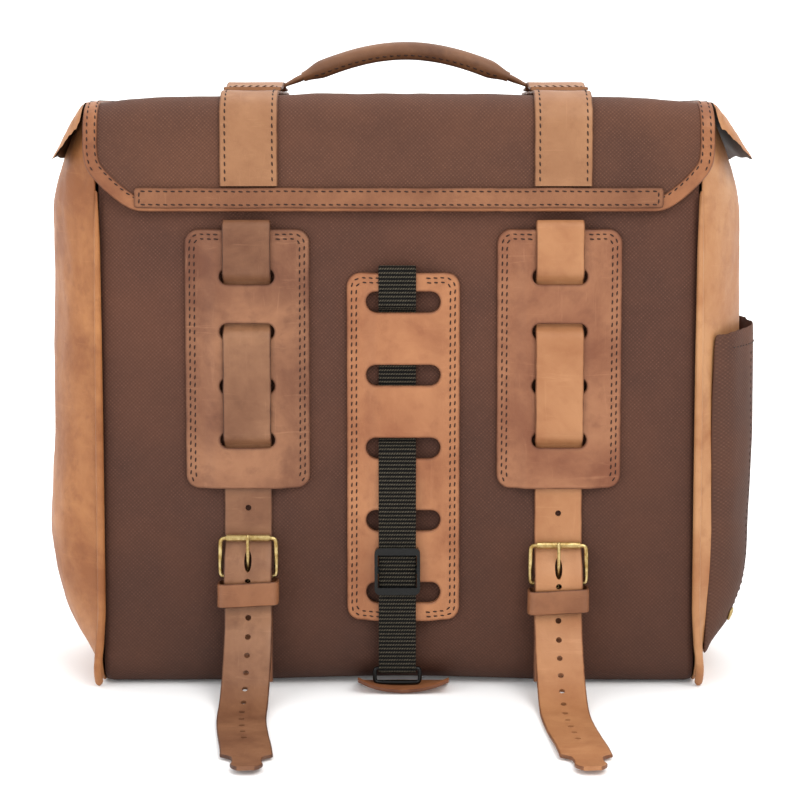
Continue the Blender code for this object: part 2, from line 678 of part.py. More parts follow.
def make_closure(hand, x, bend_z):
    """A tape over the flap, and the strap, buckle and snap that hold the flap shut in front."""
    over = FLAP_TOP_Z + GAP + STRAP_T / 2
    tape = [Vector((HINGE_Y + 0.0017, over)), Vector((0.0, over))]
    tape += arc((-HINGE_Y, bend_z), FLAP_BEND_R + GAP + STRAP_T / 2, 90, 0, 6)
    tape += [Vector((TAPE_FACE, 0.32)), Vector((TAPE_FACE, 0.262))]
    ribbon(f"tape_{hand}", tape, x + TAPE_SHIFT, TAPE_WIDTH, STRAP_T, strap_leather())

    z = CLOSURE_Z
    route = [
        (0.0066, 0.2610), (0.0066, 0.252), (0.0074, 0.242), (0.0096, 0.232), (0.0098, 0.2165),
        (0.0076, 0.205), (0.0046, 0.192), *strap_through_buckle(z), (0.0090, z - 0.066), (0.0088,
            z - 0.088),
    ]
    path = on_wall(1, [tuple(p) for p in smooth_path(route, 3)])
    strap = ribbon(f"closure_strap_{hand}", path, x, STRAP_WIDTH, STRAP_T, strap_leather())
    cut_prong_hole(strap, x, 1, z)
    make_chape(f"closure_chape_{hand}", x, z, 1, z - 0.078)
    make_buckle(f"closure_{hand}", x, z, 1)
    make_keeper(f"closure_keeper_{hand}", x, z - KEEPER_DROP, 1)
    disc(f"snap_cap_{hand}", (x, 0.0, z - 0.066), BODY_DEPTH / 2 + 0.0054, BODY_DEPTH / 2 + 0.0068)
    disc(f"snap_base_{hand}", (x, 0.0, z - 0.066), BODY_DEPTH / 2 + GAP, BODY_DEPTH / 2 + 0.0019)


def disc(name, centre, y0, y1):
    outline = [(centre[0] + 0.0065 * math.cos(a), centre[2] + 0.0065 * math.sin(a))
               for a in [2 * math.pi * k / 16 for k in range(16)]]
    prism_y(name, outline, y0, y1, brass())


def make_handle():
    """A rolled leather grip round a core strap, in an arch between the two tapes."""
    points = []
    for k in range(25):
        t = -1 + k / 12
        points.append((HANDLE_X + t * HANDLE_HALF, 0.0, HANDLE_Z + HANDLE_RISE * math.cos(t * math.pi / 2)))
    tube("handle_core", points, HANDLE_CORE_R, strap_leather(), sides=2)
    grip_points = [p for p in points if abs(p[0] - HANDLE_X) <= GRIP_HALF]
    grip = convert_to_mesh(tube("handle_grip", grip_points, HANDLE_GRIP_R, leather(), sides=3))
    bore_points = [p for p in points if abs(p[0] - HANDLE_X) <= GRIP_HALF + 0.011]
    cut(grip, convert_to_mesh(tube("handle_bore", bore_points, HANDLE_CORE_R + 0.0005, leather(), sides=2)))


def convert_to_mesh(obj):
    """Turns a curve object into a closed mesh object of the same name."""
    graph = bpy.context.evaluated_depsgraph_get()
    mesh = bpy.data.meshes.new_from_object(obj.evaluated_get(graph))
    name = obj.name
    finish = obj.data.materials[0]
    bpy.data.objects.remove(obj)
    bm = bmesh.new()
    bm.from_mesh(mesh)
    bmesh.ops.remove_doubles(bm, verts=bm.verts, dist=1e-6)
    return from_bmesh(name, bm, finish)


def main():
    clear_scene()
    make_canvas_body()
    make_gussets()
    make_lining()
    make_boards()
    make_welts()
    make_side_pocket()
    make_rack_straps()
    make_centre_strap()
    make_fixed_flap_back()
    make_flap()
    make_handle()


main()
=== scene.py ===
"""Looks of the canvas and leather saddlebag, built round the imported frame.

Metres, +Z up. The side that straps to the rack faces -Y, towards the camera.
"""

import json
import math

import bmesh
import bpy
import numpy as np
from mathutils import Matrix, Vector, noise
from mathutils.geometry import delaunay_2d_cdt

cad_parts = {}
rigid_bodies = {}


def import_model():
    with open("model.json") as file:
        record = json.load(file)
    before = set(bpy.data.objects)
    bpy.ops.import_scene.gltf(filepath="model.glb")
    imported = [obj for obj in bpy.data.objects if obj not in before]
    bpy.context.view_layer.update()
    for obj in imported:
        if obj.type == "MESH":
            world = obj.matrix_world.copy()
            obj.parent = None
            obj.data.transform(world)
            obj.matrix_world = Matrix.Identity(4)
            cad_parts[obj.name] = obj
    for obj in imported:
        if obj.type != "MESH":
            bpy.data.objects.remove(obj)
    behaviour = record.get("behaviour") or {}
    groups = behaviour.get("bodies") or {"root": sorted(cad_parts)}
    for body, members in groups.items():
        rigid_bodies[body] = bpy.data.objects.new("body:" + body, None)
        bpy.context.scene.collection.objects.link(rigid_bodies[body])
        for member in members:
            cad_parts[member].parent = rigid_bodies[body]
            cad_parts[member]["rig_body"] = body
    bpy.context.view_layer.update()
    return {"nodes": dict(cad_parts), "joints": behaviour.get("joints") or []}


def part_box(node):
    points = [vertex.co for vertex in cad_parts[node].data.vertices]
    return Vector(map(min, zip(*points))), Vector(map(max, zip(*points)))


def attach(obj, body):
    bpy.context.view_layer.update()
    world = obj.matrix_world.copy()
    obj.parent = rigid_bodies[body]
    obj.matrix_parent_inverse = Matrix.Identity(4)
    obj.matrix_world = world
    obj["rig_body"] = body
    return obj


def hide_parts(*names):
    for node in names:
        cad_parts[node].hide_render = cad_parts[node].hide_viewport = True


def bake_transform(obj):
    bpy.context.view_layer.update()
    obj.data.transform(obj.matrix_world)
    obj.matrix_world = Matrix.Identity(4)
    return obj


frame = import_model()

# ---------------------------------------------------------------- driving sizes

def middle_of(node):
    """The middle of a CAD node's box at rest, as x, y and z."""
    low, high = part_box(node)
    return [(a + b) / 2 for a, b in zip(low, high)]


BODY_LOW, BODY_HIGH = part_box("canvas_body")
BACK_Y = BODY_LOW.y
HALF_WIDTH = BODY_HIGH.x
RIM_Z = BODY_HIGH.z
CORNER_R = 0.020
CANVAS_T = 0.0022

FLAP_LOW, FLAP_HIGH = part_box("flap_cover")
FLAP_BACK_LOW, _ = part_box("flap_back")
FLAP_FACE = FLAP_HIGH.y
FLAP_TOP_Z = FLAP_HIGH.z
FLAP_HALF_WIDTH = FLAP_HIGH.x
FLAP_BEND_R = 0.020
FLAP_BACK_EDGE_Z = FLAP_BACK_LOW.z
FLAP_FRONT_EDGE_Z = FLAP_LOW.z
FLAP_T = 0.0023
HINGE_Y = frame["joints"][0]["pos_m"][1]
TURN_Y = -0.030

STRAP_WIDTH = 0.032
STRAP_T = 0.0026
TAPE_WIDTH = 0.0385
LEFT_X = middle_of("rack_panel_left")[0]
RIGHT_X = middle_of("rack_panel_right")[0]
WEB_X = middle_of("webbing")[0]
HANDLE_X = middle_of("handle_core")[0]
LAYER_GAP = 0.0003

PANEL_T = 0.0026
PANEL_CAVITY = 0.0037
PANEL_SLOTS_Z = (0.2795, 0.2430, 0.2065, 0.1700)
CENTRE_CAVITY = 0.0043
CENTRE_SLOTS_Z = (0.2627, 0.2137, 0.1647, 0.1157, 0.0667)
WEB_WIDTH = 0.025
WEB_T = 0.0014
RIB_PITCH = 0.0026

BUCKLE_DROP = 0.0260
PRONG_SLOT_DROP = 0.0152
BAR_OUT = 0.0069
CHAPE_FOLD_R = 0.0031
HOLE_PITCH = 0.0133
BACK_SEAM_TOP_Z = 0.336
FRONT_SEAM_TOP_Z = 0.205
SEAM_FOOT_Z = 0.034
POCKET_HEM_Z = 0.2300
POCKET_SEAM_Y = -0.034
BAND_HALF_LENGTH = 0.1715
EAR_ROOT_X = 0.2115
EAR_REACH = 0.034
EAR_EDGE_LENGTH = 0.064
LIGHT_SHARE = (0.56, 0.525, 0.470)
STITCH_PITCH = 0.0050


# ---------------------------------------------------------------- materials

def linear(red, green, blue):
    """An sRGB colour of 0 to 255, as it looks in this light, as linear numbers with alpha."""
    made = []
    for value, share in zip((red, green, blue), LIGHT_SHARE):
        made.append(share * ((value / 255 + 0.055) / 1.055) ** 2.4)
    return (*made, 1.0)


class Finish:
    """A material under construction, with short calls for the nodes used here."""

    def __init__(self, name, roughness, metallic=0.0, specular=0.5):
        self.material = bpy.data.materials.new(name)
        self.material.use_nodes = True
        self.tree = self.material.node_tree
        self.shader = self.tree.nodes["Principled BSDF"]
        self.shader.inputs["Roughness"].default_value = roughness
        self.shader.inputs["Metallic"].default_value = metallic
        self.shader.inputs["Specular IOR Level"].default_value = specular

    def add(self, kind, inputs=None, **settings):
        """A node with its settings and inputs; an input is a value or another node's output."""
        node = self.tree.nodes.new("ShaderNode" + kind)
        for name, value in settings.items():
            setattr(node, name, value)
        for name, value in (inputs or {}).items():
            if isinstance(value, bpy.types.NodeSocket):
                self.tree.links.new(value, node.inputs[name])
            else:
                node.inputs[name].default_value = value
        return node

    def place(self):
        return self.add("TexCoord").outputs["Object"]

    def maths(self, operation, a, b=None):
        values = {0: a} if b is None else {0: a, 1: b}
        return self.add("Math", values, operation=operation).outputs[0]

    def mix(self, factor, a, b):
        return self.add("Mix", {0: factor, 6: a, 7: b}, data_type="RGBA").outputs[2]

    def noise(self, vector, scale, detail=4.0, rough=0.55, distortion=0.0):
        values = {"Vector": vector, "Scale": scale, "Detail": detail, "Roughness": rough}
        return self.add("TexNoise", {**values, "Distortion": distortion}).outputs["Fac"]

    def between(self, value, low, high, to_low=0.0, to_high=1.0):
        """The value, moved from one range to another and held inside it."""
        values = {"Value": value, "From Min": low, "From Max": high, "To Min": to_low, "To Max": to_high}
        return self.add("MapRange", values).outputs["Result"]

    def set(self, socket, value):
        self.tree.links.new(value, self.shader.inputs[socket])

    def bump(self, height, distance, strength):
        values = {"Height": height, "Distance": distance, "Strength": strength}
        self.set("Normal", self.add("Bump", values).outputs["Normal"])


def canvas_material(name, light, dark, thread=0.0013):
    """Waxed cotton duck: a plain weave with painted shade in the gaps between threads, pale where the wax
    has worn, and cloudy all over.
    """
    m = Finish(name, 0.82, specular=0.25)
    coords = m.add("TexCoord")
    place = coords.outputs["Object"]
    uv = m.add("SeparateXYZ", {"Vector": coords.outputs["UV"]})
    turns = 2 * math.pi / (2 * thread)
    over = m.maths("SINE", m.maths("MULTIPLY", uv.outputs["X"], turns))
    under = m.maths("SINE", m.maths("MULTIPLY", uv.outputs["Y"], turns))
    weave = m.maths("MULTIPLY", over, under)
    slub = m.noise(place, 420.0, 2.0)
    clouds = m.noise(place, 11.0, 5.0, 0.6)
    worn = m.between(m.noise(place, 30.0, 6.0, 0.7), 0.5, 0.85, 0.0, 0.55)
    base = m.mix(m.between(clouds, 0.3, 0.7), dark, light)
    pale = tuple(min(1.0, c * 1.9 + 0.015) for c in light[:3]) + (1.0,)
    tips = m.maths("MULTIPLY", m.between(weave, 0.25, 1.0),
        m.between(slub, 0.42, 0.68, 0.1, 0.5))
    base = m.mix(tips, base, pale)
    base = m.mix(worn, base, light)
    # Painted shade: the gaps between the threads are darkened.
    gaps = m.between(weave, -1.0, -0.2, 0.35, 0.0)
    base = m.mix(gaps, base, tuple(c * 0.45 for c in dark[:3]) + (1.0,))
    # The canvas is darkened towards the bottom of the bag.
    height_up = m.add("SeparateXYZ", {"Vector": place}).outputs["Z"]
    darker_towards_bottom = m.between(height_up, 0.02, 0.26, 0.34, 0.0)
    base = m.mix(darker_towards_bottom, base, tuple(c * 0.40 for c in dark[:3]) + (1.0,))
    m.set("Base Color", base)
    m.set("Roughness", m.between(clouds, 0.2, 0.8, 0.72, 0.9))
    height = m.maths("ADD", m.maths("MULTIPLY", weave, 0.5), m.maths("MULTIPLY", slub, 0.6))
    m.bump(height, 0.00028, 0.55)
    return m.material


def leather_material(name, light, dark, scratch=1.0, contrast=1.0, specular=0.35):
    """Oiled pull-up leather: clouded, with fine scratches, a tight grain and edges darkened by wear."""
    m = Finish(name, 0.55, specular=specular)
    place = m.place()
    clouds = m.noise(place, 16.0, 6.0, 0.62, 0.35)
    mottled = m.noise(place, 75.0, 5.0, 0.6, 0.2)
    stretched = m.add("Mapping",
        {"Vector": place, "Scale": (14.0, 14.0, 170.0), "Rotation": (0.1, 0.2, 0.35)})
    hairs = m.noise(stretched.outputs["Vector"], 1.6, 5.0, 0.65, 0.8)
    crossed = m.add("Mapping",
        {"Vector": place, "Scale": (210.0, 18.0, 18.0), "Rotation": (0.3, 0.5, -0.2)})
    scuffs = m.noise(crossed.outputs["Vector"], 1.2, 4.0, 0.6, 0.6)
    half = 0.2 / contrast
    base = m.mix(m.between(clouds, 0.5 - half, 0.5 + half), dark, light)
    spots = m.mix(0.5, dark, (dark[0] * 0.6, dark[1] * 0.5, dark[2] * 0.45, 1.0))
    base = m.mix(m.between(mottled, 0.52, 0.78, 0.0, 0.45 * contrast), base, spots)
    pale = (min(1, light[0] * 1.35), min(1, light[1] * 1.45), min(1, light[2] * 1.6), 1.0)
    base = m.mix(m.between(hairs, 0.60, 0.76, 0.0, 0.40 * scratch), base, pale)
    base = m.mix(m.between(scuffs, 0.63, 0.80, 0.0, 0.35 * scratch), base, pale)
    edge = m.add("Attribute", attribute_name="edge").outputs["Fac"]
    burnished = (dark[0] * 0.42, dark[1] * 0.34, dark[2] * 0.28, 1.0)
    rubbed = m.maths("MULTIPLY", edge, m.between(mottled, 0.3, 0.6, 0.45, 0.95))
    base = m.mix(rubbed, base, burnished)
    m.set("Base Color", base)
    m.set("Roughness", m.between(clouds, 0.3, 0.7, 0.62, 0.46))
    cells = m.add("TexVoronoi", {"Vector": place, "Scale": 900.0},
        feature="SMOOTH_F1").outputs["Distance"]
    creases = m.noise(place, 260.0, 5.0, 0.6, 0.6)
    height = m.maths("ADD", m.maths("MULTIPLY", cells, 0.35), creases)
    height = m.maths("SUBTRACT", height,
        m.maths("MULTIPLY", m.between(hairs, 0.62, 0.75), 0.3 * scratch))
    m.bump(height, 0.00035, 0.45)
    return m.material


def webbing_material():
    """Black polyester webbing: slanted yarns on cross ribs that match the mesh's."""
    m = Finish("black_webbing", 0.55, specular=0.15)
    coords = m.add("TexCoord")
    uv = m.add("SeparateXYZ", {"Vector": coords.outputs["UV"]})
    rib = m.maths("ABSOLUTE",
        m.maths("SINE", m.maths("MULTIPLY", uv.outputs["Y"], math.pi / RIB_PITCH)))
    slant = m.maths("ADD", uv.outputs["X"], m.maths("MULTIPLY", uv.outputs["Y"], 0.9))
    yarn = m.maths("SINE", m.maths("MULTIPLY", slant, 2 * math.pi / 0.0017))
    fuzz = m.noise(coords.outputs["Object"], 900.0, 2.0)
    lit = m.maths("MULTIPLY", m.between(rib, 0.60, 0.99), m.between(yarn, -0.4, 0.9, 0.25, 1.0))
    shine = m.maths("MULTIPLY", lit, m.between(fuzz, 0.3, 0.65, 0.5, 1.0))
    base = m.mix(shine, linear(4, 4, 4), linear(128, 122, 108))
    m.set("Base Color", base)
    m.set("Roughness", m.between(fuzz, 0.3, 0.7, 0.55, 0.75))
    m.bump(m.maths("ADD", yarn, rib), 0.0004, 0.8)
    return m.material


def plastic_material():
    m = Finish("black_plastic_moulded", 0.3, specular=0.22)
    place = m.place()
    fine = m.noise(place, 1100.0, 2.0)
    handled = m.noise(place, 60.0, 4.0)
    m.set("Base Color", m.mix(handled, linear(10, 11, 11), linear(26, 27, 27)))
    m.set("Roughness", m.between(handled, 0.3, 0.7, 0.14, 0.30))
    m.bump(fine, 0.00006, 0.6)
    return m.material


def brass_material():
    """Old brass plating, rubbed bright on the high spots and dull brown between."""
    m = Finish("old_brass", 0.34, metallic=1.0)
    place = m.place()
    patches = m.noise(place, 220.0, 5.0, 0.65)
    pits = m.noise(place, 1300.0, 3.0, 0.6)
    base = m.mix(m.between(patches, 0.35, 0.62), linear(196, 164, 100),
        linear(255, 236, 176))
    base = m.mix(m.between(pits, 0.62, 0.78, 0.0, 0.55), base, linear(110, 84, 46))
    m.set("Base Color", base)
    m.set("Roughness", m.between(patches, 0.3, 0.7, 0.48, 0.26))
    m.bump(pits, 0.00012, 0.5)
    return m.material


def fibre_material(name, roughness, grain, low, high, depth, strength):
    """Two tones of fine fibre, raised to match."""
    m = Finish(name, roughness, specular=0.3)
    fibre = m.noise(m.place(), *grain)
    m.set("Base Color", m.mix(fibre, linear(*low), linear(*high)))
    m.bump(fibre, depth, strength)
    return m.material


CANVAS = canvas_material("waxed_canvas", linear(114, 76, 62), linear(88, 57, 47))
# Painted light: a lighter copy of the body's canvas, for the flap that faces the top light and the pocket on
# the lit right side.
CANVAS_PAINTED_LIGHT = canvas_material("waxed_canvas_painted_light", linear(121, 82, 66), linear(93, 61, 50))
LINING = canvas_material("lining_cotton", linear(128, 112, 92), linear(100, 86, 70), thread=0.0009)
SUEDE = leather_material("leather_flesh_side", linear(112, 80, 56), linear(72, 50, 36), 0.3, specular=0.04)
SIDE_LEATHER = leather_material("leather_side", linear(226, 170, 122), linear(192, 128, 82), 0.5, 1.3)
# Painted shade: a darker copy of the side leather for the left gusset, which gets less light than the right.
SIDE_LEATHER_PAINTED_SHADE = leather_material("leather_side_painted_shade", linear(214, 148, 92), linear(168, 104, 58),
    0.5, 1.5)
PANEL_LEFT_LEATHER = leather_material("leather_panel_left", linear(186, 132, 98), linear(130, 80, 56),
    1.2, 1.3)
PANEL_RIGHT_LEATHER = leather_material("leather_panel_right", linear(192, 134, 98), linear(148, 90, 62),
    0.9, 1.3)
PANEL_LEATHER = leather_material("leather_centre_panel", linear(212, 148, 104), linear(172, 108, 72),
    0.5, 1.2)
STRAP_LEFT_LEATHER = leather_material("leather_strap_left", linear(176, 128, 96), linear(126, 80, 54),
    1.2, 1.1)
STRAP_RIGHT_LEATHER = leather_material("leather_strap_right", linear(222, 164, 118),
    linear(184, 122, 80), 0.7, 0.8)
TAPE_LEATHER = leather_material("leather_tape", linear(200, 148, 108), linear(160, 108, 72), 0.9, 0.9)
TRIM_LEATHER = leather_material("leather_trim", linear(178, 122, 86), linear(140, 88, 58), 0.9, 1.0)
BINDING_LEATHER = leather_material("leather_binding", linear(200, 136, 92), linear(148, 90, 58), 0.6, 1.1)
GRIP_LEATHER = leather_material("leather_grip", linear(164, 116, 82), linear(112, 72, 48), 1.0, 1.1)
WEBBING = webbing_material()
PLASTIC = plastic_material()
BRASS = brass_material()
THREAD = fibre_material("waxed_thread", 0.6, (1500.0, 2.0), (34, 18, 12), (74, 40, 26), 0.00015, 0.6)
BOARD = fibre_material("fibre_board", 0.75, (300.0, 6.0, 0.7), (38, 36, 34), (70, 66, 60), 0.0002, 0.5)


# ---------------------------------------------------------------- mesh helpers

def smooth_step(low, high, value):
    t = min(1.0, max(0.0, (value - low) / (high - low)))
    return t * t * (3 - 2 * t)


def wobble(point, size, seed=0.0):
    """Smooth noise from -1 to 1 with features of about that size."""
    return noise.noise(Vector(point) / size + Vector((seed, seed * 1.7, -seed)))


def length_of(line):
    return sum((b - a).length for a, b in zip(line, line[1:]))


def reach_along(line):
    """How far along the line each of its points is."""
    reach = [0.0]
    for a, b in zip(line, line[1:]):
        reach.append(reach[-1] + (b - a).length)
    return reach


def smooth_path(points, steps):
    """A Catmull-Rom curve through the points, with that many steps in each stretch."""
    p = [2 * Vector(points[0]) - Vector(points[1])]
    p += [Vector(q) for q in points]
    p += [2 * Vector(points[-1]) - Vector(points[-2])]
    made = []
    for i in range(1, len(p) - 2):
        for k in range(steps):
            t = k / steps
            made.append(0.5 * (
                2 * p[i]
                + (p[i + 1] - p[i - 1]) * t
                + (2 * p[i - 1] - 5 * p[i] + 4 * p[i + 1] - p[i + 2]) * t * t
                + (3 * p[i] - p[i - 1] - 3 * p[i + 1] + p[i + 2]) * t ** 3
            ))
    return made + [p[-2]]


def even_path(points, spacing, closed=False):
    """The same line, with points about that far apart."""
    line = [Vector(p) for p in points]
    if closed:
        line.append(line[0].copy())
    reach = reach_along(line)
    count = max(2, round(reach[-1] / spacing))
    made = []
    i = 0
    for k in range(count + (0 if closed else 1)):
        target = reach[-1] * k / count
        while i < len(line) - 2 and reach[i + 1] < target:
            i += 1
        span = max(reach[i + 1] - reach[i], 1e-9)
        made.append(line[i].lerp(line[i + 1], (target - reach[i]) / span))
    return made


def arc(centre, radius, start, end, steps):
    """Points (a, b) on a circle; angles in degrees."""
    made = []
    for k in range(steps + 1):
        angle = math.radians(start + (end - start) * k / steps)
        made.append(Vector((centre[0] + radius * math.cos(angle), centre[1] + radius * math.sin(angle))))
    return made


def rounded_rectangle(cx, cz, width, height, radius, steps=6):
    made = []
    for qx, qz, start in ((1, 1, 0), (-1, 1, 90), (-1, -1, 180), (1, -1, 270)):
        corner = (cx + qx * (width / 2 - radius), cz + qz * (height / 2 - radius))
        made += arc(corner, radius, start, start + 90, steps)
    return made


def add_object(name, data):
    made = bpy.data.objects.new(name, data)
    bpy.context.scene.collection.objects.link(made)
    return made


def place_piece(name, mesh, finish, body, stands_for=(), blended=False):
    """Puts a finished mesh in the scene, hung on its body (or with its transform baked in, and no body, when
    blended), and hides the CAD nodes it stands for.
    """
    mesh.materials.clear()
    mesh.materials.append(finish)
    mesh.shade_smooth()
    mesh.set_sharp_from_angle(angle=math.radians(50))
    piece = add_object(name, mesh)
    if blended:
        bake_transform(piece)
    else:
        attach(piece, body)
    if stands_for:
        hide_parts(*stands_for)
    return piece


def mesh_from(name, points, faces, uvs=None, edges=None):
    """A mesh from lists; uvs holds a (u, v) in metres for each point, edges a wear value for each."""
    mesh = bpy.data.meshes.new(name)
    mesh.from_pydata([tuple(p) for p in points], [], faces)
    mesh.validate()
    if uvs is not None:
        layer = mesh.uv_layers.new(name="cloth")
        corners = np.empty(len(mesh.loops), dtype=np.int32)
        mesh.loops.foreach_get("vertex_index", corners)
        layer.data.foreach_set("uv", np.array(uvs, dtype=np.float32)[corners].ravel())
    if edges is not None:
        wear = mesh.attributes.new("edge", "FLOAT", "POINT")
        wear.data.foreach_set("value", np.array(edges, dtype=np.float32))
    fixed = bmesh.new()
    fixed.from_mesh(mesh)
    bmesh.ops.recalc_face_normals(fixed, faces=fixed.faces)
    fixed.to_mesh(mesh)
    fixed.free()
    return mesh


def strip_section(width, thickness, across_steps):
    """The outline of a strap's end, as (across, out, wear), with rounded long edges."""
    r = thickness * 0.46
    half = width / 2
    section = []
    for k in range(across_steps + 1):
        a = -half + r + (width - 2 * r) * k / across_steps
        section.append((a, thickness / 2, 0.0))
    for angle in (55, 20, -20, -55):
        c, s = math.cos(math.radians(angle)), math.sin(math.radians(angle))
        section.append((half - r + r * c, (thickness / 2 - r) * (1 if s > 0 else -1) + r * s, 1.0))
    for k in range(across_steps + 1):
        a = half - r - (width - 2 * r) * k / across_steps
        section.append((a, -thickness / 2, 0.0))
    for angle in (-55, -20, 20, 55):
        c, s = math.cos(math.radians(angle)), math.sin(math.radians(angle))
        section.append((-half + r - r * c, (thickness / 2 - r) * (1 if s > 0 else -1) + r * s, 1.0))
    return section


def strip_mesh(
    name, path, across, width, thickness, spacing=0.002, closed=False, waist=None, shift=None,
    waver=0.00025, ribs=0.0, across_steps=8,
):
    """A strap along a 3-D path. waist(s, total) scales its width, shift(s) moves it sideways."""
    line = even_path(path, spacing, closed)
    across = Vector(across).normalized()
    section = strip_section(width, thickness, across_steps)
    count = len(line)
    points, uvs, wear = [], [], []
    total = length_of(line)
    s = 0.0
    for i, p in enumerate(line):
        if i:
            s += (p - line[i - 1]).length
        ahead = line[(i + 1) % count] if closed else line[min(i + 1, count - 1)]
        behind = line[i - 1] if closed else line[max(i - 1, 0)]
        normal = across.cross((ahead - behind).normalized()).normalized()
        scale = waist(s, total) if waist else 1.0
        side = shift(s) if shift else 0.0
        for a, out, worn in section:
            lift = waver * wobble((a * 1.3, s, 3.1), 0.022) + waver * 0.6 * wobble((a, s, 9.0), 0.009)
            if ribs and not worn:
                lift += math.copysign(ribs * abs(math.sin(math.pi * s / RIB_PITCH)), out)
            rough_edge = waver * 0.8 * wobble((s, 1.0, a), 0.006) if worn else 0.0
            points.append(p + across * (a * scale + side + math.copysign(rough_edge,
                a)) + normal * (out + lift))
            uvs.append((a, s))
            wear.append(worn)
    n = len(section)
    faces = []
    for i in range(count if closed else count - 1):
        j = (i + 1) % count
        for k in range(n):
            faces.append((i * n + k, i * n + (k + 1) % n, j * n + (k + 1) % n, j * n + k))
    if not closed:
        m = across_steps + 1
        for base in (0, (count - 1) * n):
            for k in range(m - 1):
                faces.append((base + k, base + k + 1, base + 2 * m + 2 - k, base + 2 * m + 3 - k))
            faces.append(tuple(base + k for k in range(m - 1, m + 5)))
            faces.append(tuple(base + k for k in (*range(2 * m + 3, 2 * m + 8), 0)))
    return mesh_from(name, points, faces, uvs, wear)


def inside(points, loop):
    """Which of the points lie inside the loop."""
    x, y = points[:, 0], points[:, 1]
    held = np.zeros(len(points), bool)
    ring = np.array([(p[0], p[1]) for p in loop])
    for (x0, y0), (x1, y1) in zip(ring, np.roll(ring, -1, axis=0)):
        crosses = (y0 > y) != (y1 > y)
        with np.errstate(divide="ignore", invalid="ignore"):
            held ^= crosses & (x < (x1 - x0) * (y - y0) / (y1 - y0) + x0)
    return held


def edge_distance(points, loops):
    """How far each point is from the nearest loop."""
    best = np.full(len(points), 1e9)
    for loop in loops:
        ring = np.array([(p[0], p[1]) for p in loop])
        for a, b in zip(ring, np.roll(ring, -1, axis=0)):
            d = b - a
            t = np.clip(((points - a) @ d) / max(d @ d, 1e-12), 0, 1)
            best = np.minimum(best, np.linalg.norm(points - (a + t[:, None] * d), axis=1))
    return best


def inset_loop(loop, distance):
    """The loop moved that far to its left."""
    made = []
    n = len(loop)
    for i in range(n):
        a, b, c = loop[i - 1], loop[i], loop[(i + 1) % n]
        d = (Vector(c) - Vector(a)).normalized()
        made.append(Vector((b[0] - d.y * distance, b[1] + d.x * distance)))
    return made


def counter_clockwise(loop):
    area = sum(a[0] * b[1] - b[0] * a[1] for a, b in zip(loop, loop[1:] + loop[:1]))
    return list(loop) if area > 0 else list(reversed(loop))


def plate_mesh(name, outline, holes, thickness, place, grid=0.004, edge_r=0.0009, wear_width=0.0016):
    """A sheet cut to an outline with holes, its outer edges rounded.

    place(a, b, out) gives the position of each point.
    """
    outline = [Vector(p) for p in even_path(counter_clockwise(outline), 0.0022, closed=True)]
    holes = [[Vector(p) for p in reversed(even_path(counter_clockwise(h), 0.0014,
        closed=True))] for h in holes]
    loops = [outline] + holes
    flat, constraints = [], []
    for loop in loops:
        start = len(flat)
        flat += loop
        constraints += [(start + i, start + (i + 1) % len(loop)) for i in range(len(loop))]
    for loop in loops:
        for depth in (0.35, 1.0, 2.0):
            flat += inset_loop(loop, edge_r * depth)
    lows = np.min([tuple(p) for p in outline], axis=0)
    highs = np.max([tuple(p) for p in outline], axis=0)
    cells = [
        (x, y)
        for j, y in enumerate(np.arange(lows[1], highs[1], grid * 0.87))
        for x in np.arange(lows[0] + (grid / 2 if j % 2 else 0), highs[0], grid)
    ]
    cells = np.array(cells)
    far = inside(cells, outline) & (edge_distance(cells, loops) > edge_r * 2 + grid * 0.4)
    for h in holes:
        far &= ~inside(cells, h)
    flat += [Vector(p) for p in cells[far]]
    verts, _, faces, _, _, _ = delaunay_2d_cdt([Vector((p[0], p[1])) for p in flat], constraints, [], 0,
        1e-7)
    spots = np.array([tuple(v) for v in verts])
    centres = np.array([np.mean(spots[list(f)], axis=0) for f in faces])
    keep = inside(centres, outline)
    for h in holes:
        keep &= ~inside(centres, h)
    faces = [f for f, k in zip(faces, keep) if k]
    depth = edge_distance(spots, loops)
    points, uvs, wear = [], [], []
    for (a, b), d in zip(spots, depth):
        t = max(0.0, 1 - d / edge_r)
        points.append(place(a, b, thickness - edge_r * (1 - math.sqrt(max(0.0, 1 - t * t)))))
        uvs.append((a, b))
        wear.append(max(0.0, 1 - d / wear_width))
    for a, b in spots:
        points.append(place(a, b, 0.0))
        uvs.append((a, b))
        wear.append(0.0)
    n = len(spots)
    sides = {}
    for f in faces:
        for side in zip(f, (*f[1:], f[0])):
            sides.setdefault(frozenset(side), []).append(side)
    walls = [(b, a, a + n, b + n) for uses in sides.values() if len(uses) == 1 for a, b in uses]
    made = [tuple(f) for f in faces] + [tuple(n + i for i in reversed(f)) for f in faces] + walls
    return mesh_from(name, points, made, uvs, wear)


def add_stitch(points, faces, centre, along, normal, length, radius):
    """One stitch: a short thread that dips into the leather at both ends."""
    side = along.cross(normal).normalized()
    base = len(points)
    sections = ((-1.0, 0.15, -1.5), (-0.72, 0.8, -0.35), (0.0, 1.05, 0.25), (0.72, 0.8, -0.35),
        (1.0, 0.15, -1.5))
    for t, width, rise in sections:
        for k in range(6):
            angle = math.pi * k / 3
            offset = side * math.cos(angle) * radius * width
            offset += normal * (math.sin(angle) * radius * width + rise * radius)
            points.append(centre + along * (t * length / 2) + offset)
    for i in range(len(sections) - 1):
        for k in range(6):
            a, b = base + 6 * i + k, base + 6 * i + (k + 1) % 6
            faces.append((a, b, b + 6, a + 6))
    faces.append(tuple(base + k for k in reversed(range(6))))
    faces.append(tuple(base + 24 + k for k in range(6)))


